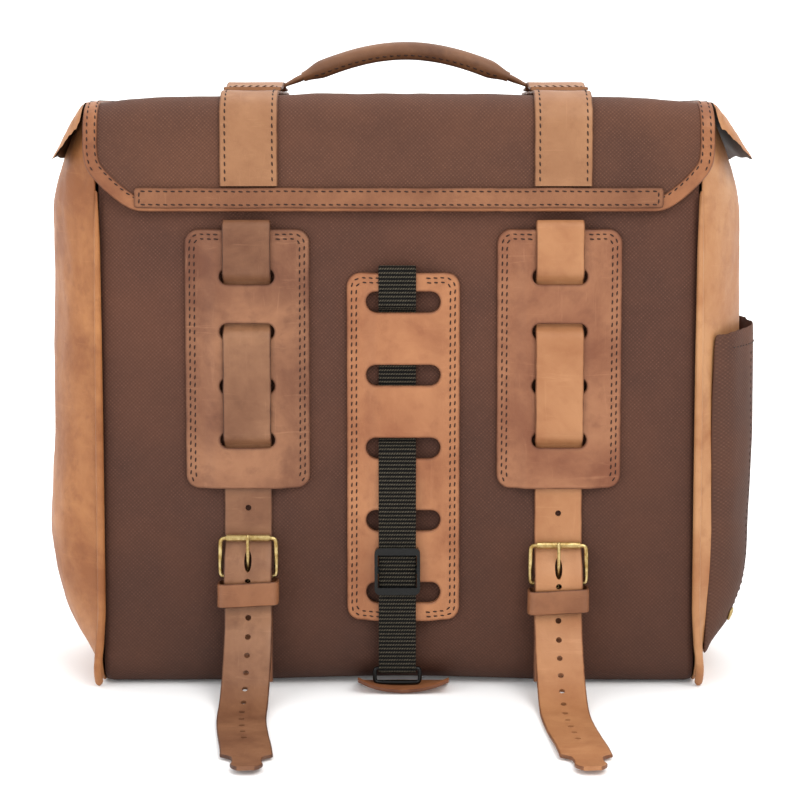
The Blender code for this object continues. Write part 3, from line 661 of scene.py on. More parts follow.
def stitch_rows(name, rows, body, blended=False, radius=0.00048, pitch=STITCH_PITCH):
    """Stitches along rows of (point, normal) pairs, all in one piece."""
    points, faces = [], []
    for row in rows:
        line = [Vector(p) for p, _ in row]
        normals = [Vector(n) for _, n in row]
        reach = reach_along(line)
        count = max(1, round(reach[-1] / pitch))
        i = 0
        for k in range(count):
            target = reach[-1] * (k + 0.5) / count
            while i < len(line) - 2 and reach[i + 1] < target:
                i += 1
            t = (target - reach[i]) / max(reach[i + 1] - reach[i], 1e-9)
            centre = line[i].lerp(line[i + 1], t)
            normal = normals[i].lerp(normals[i + 1], t).normalized()
            along = (line[i + 1] - line[i]).normalized()
            skew = along.cross(normal) * 0.12 * (1 if body != "flap" else -1)
            add_stitch(points, faces, centre, (along + skew).normalized(), normal, pitch * 0.72, radius)
    return place_piece(name, mesh_from(name, points, faces), THREAD, body, blended=blended)


def unbroken_rows(line, hidden, stitch_at, least):
    """Stitch places along a line, in rows broken where it is hidden; the shortest rows are dropped."""
    rows, row = [], []
    for p in [*line, None]:
        if p is None or hidden(p):
            if len(row) > least:
                rows.append(row)
            row = []
        else:
            row.append(stitch_at(p))
    return rows


def softened(name, node, levels, finish, body, move=None, uv_of=None, swell=0.0):
    """A CAD sheet or bar made smooth by subdivision, swelled, then moved point by point."""
    source = frame["nodes"][node]
    bm = bmesh.new()
    bm.from_mesh(source.data)
    bmesh.ops.remove_doubles(bm, verts=bm.verts, dist=2e-6)
    for layer in list(bm.loops.layers.uv):
        bm.loops.layers.uv.remove(layer)
    mesh = bpy.data.meshes.new(name)
    bm.to_mesh(mesh)
    bm.free()
    shell = add_object(name + "_draft", mesh)
    step = shell.modifiers.new("smooth", "SUBSURF")
    step.levels = step.render_levels = levels
    graph = bpy.context.evaluated_depsgraph_get()
    made = bpy.data.meshes.new_from_object(shell.evaluated_get(graph))
    bpy.data.objects.remove(shell)
    made.name = name

    def put(spots):
        made.vertices.foreach_set("co", np.array(spots, dtype=np.float32).ravel())
        made.update()

    if swell:
        put([v.co + n.vector * swell for v, n in zip(made.vertices, made.vertex_normals)])
    if move:
        put([move(v.co.copy()) for v in made.vertices])
    if uv_of:
        layer = made.uv_layers.new(name="cloth")
        for loop in made.loops:
            layer.data[loop.index].uv = uv_of(made.vertices[loop.vertex_index].co)
    return place_piece(name, made, finish, body, stands_for=(node,))


# ---------------------------------------------------------------- body

def rectangle_of(node):
    low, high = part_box(node)
    return low.x, high.x, low.z, high.z


def distance_to(rectangle, x, z):
    x0, x1, z0, z1 = rectangle
    return math.hypot(max(x0 - x, 0, x - x1), max(z0 - z, 0, z - z1))


BACK_COVERS = [rectangle_of(n) for n in (
    "rack_panel_left", "rack_panel_right", "centre_panel", "rack_chape_left", "rack_chape_right",
    "rack_keeper_left", "rack_keeper_right", "webbing", "flap_back",
)]
FRONT_COVERS = [rectangle_of(n) for n in (
    "closure_strap_left", "closure_strap_right", "closure_chape_left", "closure_chape_right",
    "closure_keeper_left", "closure_keeper_right", "flap_cover",
)]


def body_profile():
    """The body's outer U in (y, z), from the back rim under the base to the front rim."""
    low = CORNER_R
    return (
        [Vector((BACK_Y, RIM_Z))]
        + arc((BACK_Y + CORNER_R, low), CORNER_R, 180, 270, 14)
        + arc((-BACK_Y - CORNER_R, low), CORNER_R, 270, 360, 14)
        + [Vector((-BACK_Y, RIM_Z))]
    )


def canvas_lift(x, y, z):
    """How far the body's canvas stands out of its flat pattern: full where nothing is sewn on it."""
    covers = BACK_COVERS if y < 0 else FRONT_COVERS
    free = min(distance_to(c, x, z) for c in covers)
    free = smooth_step(0.002, 0.028, min(free, 0.2005 - abs(x)))
    on_wall = smooth_step(0.012, 0.045, z)
    slack = 0.0016 + 0.0013 * wobble((x, y, z), 0.07, 2.0) + 0.0007 * wobble((x * 1.5, y, z * 0.7),
        0.026, 5.0)
    ripple = 0.00012 * wobble((x, y, z), 0.008, 8.0)
    return free * on_wall * max(slack, -0.0002) + ripple


def make_canvas_shell():
    profile = even_path(body_profile(), 0.0045)
    columns = np.linspace(-HALF_WIDTH + 0.0006, HALF_WIDTH - 0.0006, 90)
    points, uvs = [], []
    s = 0.0
    for i, p in enumerate(profile):
        if i:
            s += (p - profile[i - 1]).length
        ahead = profile[min(i + 1, len(profile) - 1)]
        behind = profile[max(i - 1, 0)]
        along = (ahead - behind).normalized()
        out = Vector((along.y, -along.x))
        for x in columns:
            lift = canvas_lift(x, p.x, p.y)
            edge = max(0.0, abs(x) - HALF_WIDTH + 0.004) / 0.004
            lift -= 0.0012 * edge * edge
            arch = 0.0042 * math.exp(-(x / 0.075) ** 2) * smooth_step(0.044, 0.066, abs(p.x))
            arch *= 1 - smooth_step(0.02, 0.05, p.y)
            points.append((x, p.x + out.x * lift, p.y + out.y * lift + arch))
            uvs.append((x, s))
    n = len(columns)
    faces = [
        (i * n + k, i * n + k + 1, (i + 1) * n + k + 1, (i + 1) * n + k)
        for i in range(len(profile) - 1) for k in range(n - 1)
    ]
    mesh = mesh_from("canvas_shell", points, faces, uvs)
    shell = place_piece("canvas_shell", mesh, CANVAS, "bag", stands_for=("canvas_body",))
    outward = sum(1 for f in mesh.polygons if f.center.y * f.normal.y > 0 and abs(f.center.y) > 0.07)
    thick = shell.modifiers.new("thickness", "SOLIDIFY")
    thick.thickness = CANVAS_T
    thick.offset = -1 if outward > 10 else 1
    length_of(profile)


def gusset_move(side):
    """Fills the side out low down and gives it soft creases; the left side is the fuller one."""
    full = 0.0038 if side < 0 else 0.0008

    def move(p):
        inner = abs(p.x) - HALF_WIDTH
        loose = smooth_step(0.0, 0.02, inner)
        crease = 0.0020 * wobble((0.0, p.y * 1.2, p.z * 0.6), 0.05, 3.0 + side)
        crease += 0.0009 * wobble((0.0, p.y * 2.0, p.z), 0.022, 6.0 + side)
        crease += 0.0010 * max(0.0, math.sin(p.z / 0.011 + 2.5 * p.y / 0.03)) * smooth_step(0.30, 0.37, p.z)
        crease += full + 0.0070 * smooth_step(0.20, 0.07, p.z) * smooth_step(0.0, 0.03, p.z)
        p.x += side * loose * crease
        return p
    return move


def piping_move(side):
    """Flares the piping's foot out and carries the rack-side one up behind the flap."""
    def move(p):
        p.x += side * (0.0018 + 0.0035 * smooth_step(0.045, 0.008, p.z))
        if p.y < 0:
            p.z += 0.007 * smooth_step(0.30, 0.336, p.z)
        return p
    return move


def make_gussets():
    # The left gusset gets the darker copy of the side leather: painted shade.
    for side, hand, finish in ((-1, "left", SIDE_LEATHER_PAINTED_SHADE), (1, "right", SIDE_LEATHER)):
        softened(f"gusset_{hand}_skin", f"gusset_{hand}", 2, finish, "bag",
            move=gusset_move(side))
        for word in ("back", "front"):
            softened(
                f"piping_{word}_{hand}", f"welt_{word}_{hand}", 1, finish, "bag",
                move=piping_move(side),
            )
    make_gusset_seams()


def make_gusset_seams():
    """The stitches on the leather just beside each upright piping."""
    rows = []
    for side in (-1, 1):
        for face, top in ((-1, BACK_SEAM_TOP_Z), (1, FRONT_SEAM_TOP_Z)):
            y = face * 0.0695
            row = []
            for k in range(40):
                z = SEAM_FOOT_Z + (top - SEAM_FOOT_Z) * k / 39
                row.append(((side * (HALF_WIDTH + 0.0065), y, z), (side * 0.95, face * 0.3, 0)))
            rows.append(row)
    stitch_rows("gusset_stitches", rows, "bag")


def pocket_move(p):
    """A full foot with gathers, and slack along the mouth."""
    foot = smooth_step(0.115, 0.055, p.z) * smooth_step(0.029, 0.044, p.z)
    middle = 1 - smooth_step(0.045, 0.069, abs(p.y))
    p.x += (0.0050 * foot - 0.0030) * middle
    p.x += 0.0012 * smooth_step(0.10, 0.03, p.z) * wobble((0, p.y, 0), 0.012, 4.0)
    p.x += 0.0013 * wobble((0, p.y, p.z * 0.6), 0.04, 7.0)
    p.z -= 0.008 * smooth_step(0.055, 0.030, p.z)
    p.z += 0.0035 * math.cos(p.y / 0.075 * math.pi / 2) * smooth_step(0.20, 0.24, p.z)
    return p


def make_side_pocket():
    """The pouch, the stitches of its hem and seam, and the drain eyelet set low in it."""
    # The pouch wears the lighter copy of the canvas: painted light.
    pouch = softened(
        "side_pocket_pouch", "side_pocket", 2, CANVAS_PAINTED_LIGHT, "bag", move=pocket_move,
        uv_of=lambda p: (p.y, p.z),
    )

    def on_pouch(y, z):
        found, place, normal, _ = pouch.ray_cast((0.4, y, z), (-1, 0, 0))
        return (place, normal) if found else None

    hem = [on_pouch(-0.062 + 0.004 * k, POCKET_HEM_Z) for k in range(32)]
    seam = [on_pouch(POCKET_SEAM_Y, 0.046 + 0.004 * k) for k in range(46)]
    rows = [[spot for spot in row if spot] for row in (hem, seam)]
    stitch_rows("side_pocket_stitches", rows, "bag")
    _, eyelet_y, eyelet_z = middle_of("drain_eyelet")
    place, normal = on_pouch(eyelet_y, eyelet_z)
    bm = bmesh.new()
    turn = normal.to_track_quat("Z", "Y").to_matrix().to_4x4()
    turn.translation = place + normal * 0.0006
    steps, sides = 32, 12
    grid = []
    for i in range(steps):
        a = 2 * math.pi * i / steps
        ring = []
        for k in range(sides):
            b = 2 * math.pi * k / sides
            reach = 0.0036 + 0.0012 * math.cos(b)
            ring.append(bm.verts.new(turn @ Vector((reach * math.cos(a), reach * math.sin(a),
                0.0008 * math.sin(b)))))
        grid.append(ring)
    for i in range(steps):
        for k in range(sides):
            after, beside = (i + 1) % steps, (k + 1) % sides
            bm.faces.new((grid[i][k], grid[after][k], grid[after][beside], grid[i][beside]))
    mesh = bpy.data.meshes.new("drain_eyelet_ring")
    bm.to_mesh(mesh)
    bm.free()
    place_piece("drain_eyelet_ring", mesh, BRASS, "bag", stands_for=("drain_eyelet",))


def make_insides():
    softened("lining_bag", "lining", 1, LINING, "bag", uv_of=lambda p: (p.x + p.y, p.z))
    for name in ("back_board", "base_board"):
        dress(name, BOARD)


def dress(node, finish):
    """Gives a CAD node that stays a better material."""
    mesh = frame["nodes"][node].data
    mesh.materials.clear()
    mesh.materials.append(finish)


# ---------------------------------------------------------------- rack panels

def panel_place(cx, cavity, full, none):
    """Where a panel's points go: its middle stands off the canvas by the cavity, its sides lie on it."""
    def place(a, b, out):
        raised = 1 - smooth_step(full, none, abs(a - cx))
        lift = cavity * raised + out + 0.0003 * wobble((a, b, 0.0), 0.03, cx * 40)
        return Vector((a, BACK_Y - LAYER_GAP - 0.0002 - lift, b))
    return place


def panel_stitches(name, cx, box_of, place, depths, gaps, bottom):
    """Two rows of stitches inside a panel's edge, with a gap where the strap crosses it."""
    x0, x1, z0, z1 = box_of
    rows = []
    for depth in depths:
        width, height = x1 - x0 - 2 * depth, z1 - z0 - 2 * depth
        corner = max(0.009 - depth * 0.7, 0.003)
        loop = rounded_rectangle((x0 + x1) / 2, (z0 + z1) / 2, width, height, corner, 5)
        line = even_path(loop + [loop[0]], 0.0012)

        def hidden(p, depth=depth):
            crossed = abs(p.x - cx) < gaps and abs(p.y - (z0 + z1) / 2) > (z1 - z0) / 2 - 0.012
            return crossed or (not bottom and p.y < z0 + depth + 0.0006)

        rows += unbroken_rows(line, hidden, lambda p: (place(p.x, p.y, PANEL_T + 0.0001), (0, -1, 0)), 4)
    stitch_rows(name, rows, "bag")


def make_panels():
    outer = (PANEL_SLOTS_Z, (0.0365, 0.0104), PANEL_CAVITY, (0.020, 0.031))
    inner = (CENTRE_SLOTS_Z, (0.0495, 0.0140), CENTRE_CAVITY, (0.0155, 0.0285))
    jobs = (
        ("rack_panel_left", *outer, PANEL_LEFT_LEATHER, False),
        ("rack_panel_right", *outer, PANEL_RIGHT_LEATHER, False),
        ("centre_panel", *inner, PANEL_LEATHER, True),
    )
    for node, slots, slot_size, cavity, (full, none), finish, bottom in jobs:
        x0, x1, z0, z1 = rectangle_of(node)
        cx = (x0 + x1) / 2
        place = panel_place(cx, cavity - 0.0002, full, none)
        outline = rounded_rectangle(cx, (z0 + z1) / 2, x1 - x0, z1 - z0, 0.009)
        holes = [rounded_rectangle(cx, z, *slot_size, slot_size[1] / 2 - 0.0001) for z in slots]
        mesh = plate_mesh(node + "_leather", outline, holes, PANEL_T, place)
        place_piece(node + "_leather", mesh, finish, "bag", stands_for=(node,))
        gaps = 0.0175 if not bottom else 0.0140
        panel_stitches(node + "_stitches", cx, (x0, x1, z0, z1), place, (0.0033, 0.0064), gaps, bottom)


# ---------------------------------------------------------------- straps

def on_wall(sign, x, route):
    """Turns (distance out from the canvas, height) into points; sign is -1 on the rack side, 1 in front."""
    return [Vector((x, sign * (-BACK_Y + p[0]), p[1])) for p in route]


def strap_through_buckle(z):
    """A strap's route under the roller, over the hinge bar and into the keeper."""
    return [
        (0.0028, z + 0.006), (0.0028, z), (0.0052, z - 0.008), (0.0112, z - 0.018), (0.0134, z - 0.026),
        (0.0120, z - 0.031), (0.0098, z - 0.037), (0.0093, z - 0.045),
    ]


def rack_strap_route(z):
    behind = LAYER_GAP + 0.0004 + STRAP_T / 2
    front = LAYER_GAP + PANEL_CAVITY + PANEL_T + 0.0005 + STRAP_T / 2
    _, _, low, top = rectangle_of("rack_panel_left")
    step = 0.0036
    first, second, _, last = PANEL_SLOTS_Z
    return smooth_path([
        (behind, top - 0.022), (behind, top - 0.011), (behind, top - 0.001), (behind + 0.0008,
            top + 0.0032),
        ((behind + front) / 2, top + 0.0050), (front - 0.0008, top + 0.0032), (front, top - 0.001),
        (front, top - 0.014), (front, first + step), (behind, first - step),
        (behind, (first + second) / 2), (behind, second + step), (front, second - step), (front,
            second - 0.022),
        (front, last + 0.022), (front, last + step), (behind, last - step), (behind, last - 0.018),
        (behind, low), (behind, low - 0.012),
        *strap_through_buckle(z),
        (0.0095, 0.054), (0.0118, 0.044), (0.0190, 0.0320), (0.0300, 0.0200), (0.0430, 0.0103),
        (0.0570, 0.0042), (0.0720, 0.0019), (0.0900, 0.0017), (0.1150, 0.0020), (0.1400, 0.0030),
        (0.1620, 0.0022), (0.1820, 0.0042),
    ], 6)


def tail_waist(s, total):
    """The strap's end: full width, two shoulders, then a narrower tongue with a blunt point."""
    left = total - s
    if left > 0.028:
        return 1.0
    if left > 0.0255:
        return 0.62 + 0.38 * (left - 0.0255) / 0.0025
    if left > 0.008:
        return 0.62 - 0.06 * math.sin((left - 0.008) / 0.0175 * math.pi)
    return 0.34 + 0.28 * (left / 0.008) ** 0.6


def cut_holes(piece_mesh, name, places, radius=0.0022, stretch=1.0):
    """Punches round holes, each along the given direction, through a strap."""
    bm = bmesh.new()
    for centre, along in places:
        turn = Vector(along).to_track_quat("Z", "X").to_matrix().to_4x4()
        turn.translation = Vector(centre)
        made = bmesh.ops.create_cone(
            bm, cap_ends=True, segments=20, radius1=radius, radius2=radius, depth=0.010, matrix=turn
        )
        if stretch != 1.0:
            for v in made["verts"]:
                v.co.z = centre[2] + (v.co.z - centre[2]) * stretch
    cutter_mesh = bpy.data.meshes.new(name + "_punch")
    bm.normal_update()
    bmesh.ops.recalc_face_normals(bm, faces=bm.faces)
    bm.to_mesh(cutter_mesh)
    bm.free()
    cutter = add_object(name + "_punch", cutter_mesh)
    body = add_object(name + "_blank", piece_mesh)
    step = body.modifiers.new("holes", "BOOLEAN")
    step.operation = "DIFFERENCE"
    step.solver = "EXACT"
    step.object = cutter
    graph = bpy.context.evaluated_depsgraph_get()
    punched = bpy.data.meshes.new_from_object(body.evaluated_get(graph))
    bpy.data.objects.remove(cutter)
    bpy.data.objects.remove(body)
    return punched


def point_and_normal(path, reach):
    """The place at that length along a path in the YZ plane, and the direction square to it."""
    s = 0.0
    for a, b in zip(path, path[1:]):
        step = (b - a).length
        if s + step >= reach:
            along = (b - a).normalized()
            return a.lerp(b, (reach - s) / step), Vector((0, -along.z, along.y))
        s += step
    return path[-1], Vector((0, 0, 1))


def reach_of_height(path, z, after=0.0):
    """The length along the path where it first comes down past z, after that length."""
    s = 0.0
    for a, b in zip(path, path[1:]):
        s += (b - a).length
        if s > after and b.z <= z < a.z:
            return s
    return s


def make_buckled_strap(node, path, x, sign, roller_z, finish, body, drift, holes_down):
    """A strap with its prong hole under the roller and a row of holes below."""
    name = node + "_leather"
    total = length_of(path)

    def shift(s):
        return drift * smooth_step(total - 0.12, total, s)

    mesh = strip_mesh(
        name, path, (1, 0, 0), STRAP_WIDTH, STRAP_T - 0.0001, spacing=0.0022,
        waist=tail_waist, shift=shift,
    )
    at_roller = reach_of_height(path, roller_z, after=total * (0.45 if sign < 0 else 0.2))
    reaches = [at_roller - 0.021, at_roller + 0.029]
    reaches += [at_roller + 0.029 + 0.0265 + HOLE_PITCH * k for k in range(holes_down)]
    places = []
    for reach in reaches:
        if reach > total - 0.03 or reach < 0:
            continue
        p, normal = point_and_normal(path, reach)
        places.append((p + Vector((shift(reach), 0, 0)), normal))
    mesh = cut_holes(mesh, name, places, 0.0020)
    slot_z = roller_z - PRONG_SLOT_DROP
    mesh = cut_holes(mesh, name, [(Vector((x, sign * 0.0845, slot_z)), (0, 1, 0))], 0.0025, stretch=2.75)
    return place_piece(name, mesh, finish, body, stands_for=(node,))


def make_chape(node, x, z, sign, foot_z, body):
    """The short strap folded round the buckle's hinge bar, with a slot for the prong."""
    name = node + "_leather"
    low = z - BUCKLE_DROP
    route = [Vector((BAR_OUT - CHAPE_FOLD_R, foot_z)), Vector((BAR_OUT - CHAPE_FOLD_R, low - 0.02))]
    route += arc((BAR_OUT, low), CHAPE_FOLD_R, 180, 0,
        14) + [Vector((BAR_OUT + CHAPE_FOLD_R, low - 0.0015))]
    mesh = strip_mesh(name, on_wall(sign, x, route), (1, 0, 0), STRAP_WIDTH, STRAP_T - 0.0001,
        spacing=0.0012)
    mesh = cut_holes(mesh, name, [(Vector((x, sign * 0.083, low + 0.0015)), (0, 1, 0))], 0.0031,
        stretch=2.4)
    place_piece(name, mesh, TRIM_LEATHER, body, stands_for=(node,))
    y = sign * (-BACK_Y + BAR_OUT - CHAPE_FOLD_R + STRAP_T / 2)
    rows = []
    for dz in (0.004, 0.011):
        rows.append([((x - 0.012 + 0.003 * k, y, foot_z + dz), (0, sign, 0)) for k in range(9)])
    for dx in (-0.0130, 0.0130):
        rows.append([((x + dx, y, foot_z + 0.004 + 0.001 * k), (0, sign, 0)) for k in range(8)])
    stitch_rows(name + "_stitches", rows, body)


def make_keeper_loop(node):
    """A leather loop round the strap, a little full in front."""
    name = node + "_loop"
    low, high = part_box(node)
    wall = 0.0018
    middle = (low + high) / 2
    loop = rounded_rectangle(middle.x, middle.y, high.x - low.x - wall, high.y - low.y - wall, 0.0038, 6)
    path = [Vector((p.x, p.y, middle.z)) for p in loop]
    mesh = strip_mesh(
        name, path, (0, 0,
            1), high.z - low.z, wall, spacing=0.0018, closed=True, waver=0.00022, across_steps=6
    )
    for v in mesh.vertices:
        v.co.z += 0.0009 * math.sin((v.co.x - middle.x) / 0.0205 * math.pi / 2)
    place_piece(name, mesh, TRIM_LEATHER, node, stands_for=(node,))


def dress_buckle(prefix):
    holder = frame["nodes"][prefix + "_frame"]["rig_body"]
    softened(prefix + "_wire_frame", prefix + "_frame", 1, BRASS, holder, swell=0.0001)
    softened(prefix + "_prong_bar", prefix + "_prong", 1, BRASS, prefix + "_prong",
        swell=0.0002)
    bevel_node(prefix + "_roller", BRASS, 0.0004)


def bevel_node(node, finish, width):
    """Rounds the edges of a CAD node that stays, and gives it a better material."""
    dress(node, finish)
    obj = frame["nodes"][node]
    weld = obj.modifiers.new("weld", "WELD")
    weld.merge_threshold = 0.000002
    step = obj.modifiers.new("rounded", "BEVEL")
    step.width = width
    step.segments = 3
    step.limit_method = "ANGLE"
    step.angle_limit = math.radians(35)


def make_rack_straps():
    for hand, x, finish, drift in (
        ("left", LEFT_X, STRAP_LEFT_LEATHER, 0.011), ("right", RIGHT_X, STRAP_RIGHT_LEATHER, 0.007),
    ):
        z = middle_of(f"rack_{hand}_roller")[2]
        path = on_wall(-1, x, rack_strap_route(z))
        make_buckled_strap(f"rack_strap_{hand}", path, x, -1, z, finish, "bag", drift, 11)
        make_chape(f"rack_chape_{hand}", x, z, -1, 0.005, "bag")
        make_keeper_loop(f"rack_keeper_{hand}")
        dress_buckle(f"rack_{hand}")


# ---------------------------------------------------------------- centre webbing

def webbing_route(slider_z, ring_z):
    """Up from the ring behind the panel, over its top, through its slots and down through the slider."""
    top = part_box("centre_panel")[1].z
    inner = LAYER_GAP + 0.0003 + WEB_T / 2
    second = inner + WEB_T + 0.0005
    front = LAYER_GAP + CENTRE_CAVITY + PANEL_T + 0.0004 + WEB_T / 2
    raised = front + 0.0028
    first, _, third, _, _ = CENTRE_SLOTS_Z
    turn = 0.0016 + LAYER_GAP + WEB_T / 2
    ring_out = 0.0066
    route = [(raised, slider_z - 0.0003), (raised, slider_z - 0.012), (raised, 0.052),
        (front + 0.0012, 0.036)]
    route += [(ring_out + turn, 0.024), (ring_out + turn, ring_z)]
    route += [tuple(p) for p in arc((ring_out, ring_z), turn, -30, -150, 4)]
    route += [(ring_out - turn, ring_z), (inner + 0.0008, 0.030), (inner, 0.045)]
    route += [(inner, 0.10), (inner, 0.20), (inner, top - 0.004), (inner + 0.0008, top + 0.0026)]
    route += [((inner + front) / 2, top + 0.0042), (front - 0.0008, top + 0.0026), (front, top - 0.002)]
    route += [(front, first + 0.008), (front, first - 0.001), (second, first - 0.0060),
        (second, first - 0.016)]
    route += [(second, (first + third) / 2), (second, third + 0.014), (second, third + 0.0055)]
    route += [(front, third - 0.0015), (front, third - 0.008), (raised, 0.136), (raised, 0.115)]
    route += [(raised, slider_z + 0.0003)]
    return smooth_path(route, 5)


def make_centre_strap():
    slider_z = middle_of("slider")[2]
    ring_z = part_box("webbing_ring")[1].z - 0.0016
    path = on_wall(-1, WEB_X, webbing_route(slider_z, ring_z))
    mesh = strip_mesh(
        "webbing_strap", path, (1, 0, 0), WEB_WIDTH, WEB_T - 0.0003, spacing=0.00042, waver=0.00005,
        ribs=0.00038, across_steps=6,
    )
    place_piece("webbing_strap", mesh, WEBBING, "bag", stands_for=("webbing",))
    bevel_node("slider", PLASTIC, 0.0007)
    softened("webbing_ring_bar", "webbing_ring", 1, PLASTIC, "webbing_ring")
    make_base_tab()


def make_base_tab():
    """The leather tab under the ring, its two sides curling up."""
    low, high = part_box("base_tab")
    middle = (low + high) / 2
    half = (high.x - low.x) / 2
    path = [Vector((low.x + 2 * half * k / 20, middle.y, middle.z)) for k in range(21)]
    mesh = strip_mesh("base_tab_leather", path, (0, 1, 0), high.y - low.y, STRAP_T - 0.0002, spacing=0.002)
    for v in mesh.vertices:
        curl = smooth_step(0.066, 0.090, -v.co.y)
        v.co.z += 0.0075 * curl * (abs(v.co.x - middle.x) / half) ** 2.2
    place_piece("base_tab_leather", mesh, BINDING_LEATHER, "bag", stands_for=("base_tab",))


# ---------------------------------------------------------------- flap

def flap_path():
    """The flap's mid surface in (y, z): up the back, over the top and down the front."""
    mid = FLAP_FACE - FLAP_T / 2
    bend_z = FLAP_TOP_Z - FLAP_BEND_R
    r = FLAP_BEND_R - FLAP_T / 2
    line = [Vector((-mid, FLAP_BACK_EDGE_Z - 0.004))] + arc((HINGE_Y, bend_z), r, 180, 90, 14)
    line += arc((-HINGE_Y, bend_z), r, 90, 0, 14) + [Vector((mid, FLAP_FRONT_EDGE_Z - 0.004))]
    return even_path(line, 0.002)


FLAP_LINE = flap_path()
FLAP_STEP = length_of(FLAP_LINE) / (len(FLAP_LINE) - 1)
FLAP_LENGTH = FLAP_STEP * (len(FLAP_LINE) - 1) - 0.008


def flap_place(a, b, out):
    """A point of the flap: a across, b along from the back edge, out from the mid surface."""
    t = (b + 0.004) / FLAP_STEP
    i = min(max(int(t), 0), len(FLAP_LINE) - 2)
    p = FLAP_LINE[i].lerp(FLAP_LINE[i + 1], t - i)
    along = (FLAP_LINE[min(i + 2, len(FLAP_LINE) - 1)] - FLAP_LINE[max(i - 1, 0)]).normalized()
    normal = Vector((-along.y, along.x))
    free = smooth_step(0.020, 0.045, min(abs(a - LEFT_X), abs(a - RIGHT_X)))
    near_edge = min(FLAP_HALF_WIDTH - abs(a), b, FLAP_LENGTH - b)
    free *= smooth_step(0.004, 0.03, near_edge)
    loose = 0.0013 * wobble((a, b, 0.0), 0.065, 11.0) + 0.0006 * wobble((a * 1.4, b, 1.0), 0.026, 12.0)
    out += free * (loose + 0.0008)
    point = Vector((a, p.x + normal.x * out, p.y + normal.y * out))
    on_top = smooth_step(0.35, 0.395, point.z)
    point.z -= 0.0065 * on_top * (abs(a) / FLAP_HALF_WIDTH) ** 3.5
    return point


def flap_normal(a, b):
    return (flap_place(a, b, 0.001) - flap_place(a, b, 0.0)).normalized()


def flap_outline(grow=0.0):
    """The flap's cut shape in (across, along), with its four corners sloped off."""
    w, length = FLAP_HALF_WIDTH, FLAP_LENGTH
    slope = ((0.160, 0.0), (0.172, 0.0002), (0.180, 0.0030), (0.189, 0.0095), (0.198, 0.0180),
             (0.2055, 0.0280), (w, 0.0400), (w, 0.0520))
    corner = smooth_path([Vector(p) for p in slope], 4)
    back_right = [Vector((p.x, p.y)) for p in corner]
    front_right = [Vector((p.x, length - p.y)) for p in reversed(corner)]
    right = back_right + front_right
    outline = right + [Vector((-p.x, p.y)) for p in reversed(right)]
    return inset_loop(even_path(counter_clockwise(outline), 0.003, closed=True), -grow) if grow else outline


def make_flap_canvas():
    # The flap wears the lighter copy of the canvas: painted light.
    mesh = plate_mesh("flap_canvas", flap_outline(), [], FLAP_T, lambda a, b,
        out: flap_place(a, b, out - FLAP_T / 2),
                      grid=0.0045, edge_r=0.0008)
    piece = place_piece("flap_canvas", mesh, CANVAS_PAINTED_LIGHT, "flap",
                        stands_for=("flap_back", "flap_cover"), blended=True)


def make_flap_binding():
    """Leather folded over the flap's edge all round, then a stitched band along each end."""
    base = -FLAP_T / 2 - 0.0008
    thickness = FLAP_T + 0.0024
    outline = flap_outline(0.0012)
    hole = inset_loop(even_path(counter_clockwise(flap_outline()), 0.003, closed=True), 0.0085)
    mesh = plate_mesh("flap_binding", outline, [hole], thickness, lambda a, b,
        out: flap_place(a, b, out + base),
                      grid=0.004, edge_r=0.0013, wear_width=0.001)
    place_piece("flap_binding", mesh, BINDING_LEATHER, "flap", blended=True)

    seam_out = base + thickness
    rows = []
    for depth, sides_only in ((0.0070, False), (0.0018, True)):
        loop = even_path(counter_clockwise(flap_outline()), 0.002, closed=True)
        inner = inset_loop(loop, depth)
        start_x = FLAP_HALF_WIDTH - 0.006 if sides_only else 0.172
        rows += unbroken_rows(
            inner + inner[:2], lambda p, start_x=start_x: abs(p.x) < start_x,
            lambda p: (flap_place(p.x, p.y, seam_out), flap_normal(p.x, p.y)), 3,
        )
    stitch_rows("flap_binding_stitches", rows, "flap", blended=True)

    for word, node, body, edge, toward in (
        ("back", "flap_back_band", "bag", 0.0, 1), ("front", "flap_front_band", "flap", FLAP_LENGTH, -1),
    ):
        mid = edge + toward * 0.0078
        outline = rounded_rectangle(0, mid, 0.350, 0.0135, 0.002, 4)
        top = seam_out + 0.0002

        def place(a, b, out, top=top):
            return flap_place(a, b + 0.0005 * wobble((a, 0, 0), 0.03, 20.0), out + top - 0.0012)

        mesh = plate_mesh(f"flap_band_{word}", outline, [], 0.0024, place, grid=0.004, edge_r=0.0009)
        place_piece(f"flap_band_{word}", mesh, TRIM_LEATHER, body, stands_for=(node,))
        rows = []
        for along in (0.0034, 0.0122):
            b = edge + toward * along
            rows.append([(place(-BAND_HALF_LENGTH + 0.343 * k / 90, b, 0.0025),
                flap_normal(0, b)) for k in range(91)])
        for a in (-BAND_HALF_LENGTH, BAND_HALF_LENGTH):
            rows.append([(place(a, edge + toward * (0.0034 + 0.0011 * k), 0.0025),
                flap_normal(a, edge + toward * 0.007))
                         for k in range(9)])
        stitch_rows(f"flap_band_{word}_stitches", rows, body)


def shoulder(reach):
    """(y, z) along the flap's side edge from where the ear turns down; z is measured from the top."""
    level = TURN_Y - HINGE_Y
    if reach < level:
        return TURN_Y - reach, 0.0
    angle = min((reach - level) / FLAP_BEND_R, math.pi / 2)
    straight = max(0.0, reach - level - FLAP_BEND_R * math.pi / 2)
    return HINGE_Y - FLAP_BEND_R * math.sin(angle), FLAP_BEND_R * (math.cos(angle) - 1) - straight


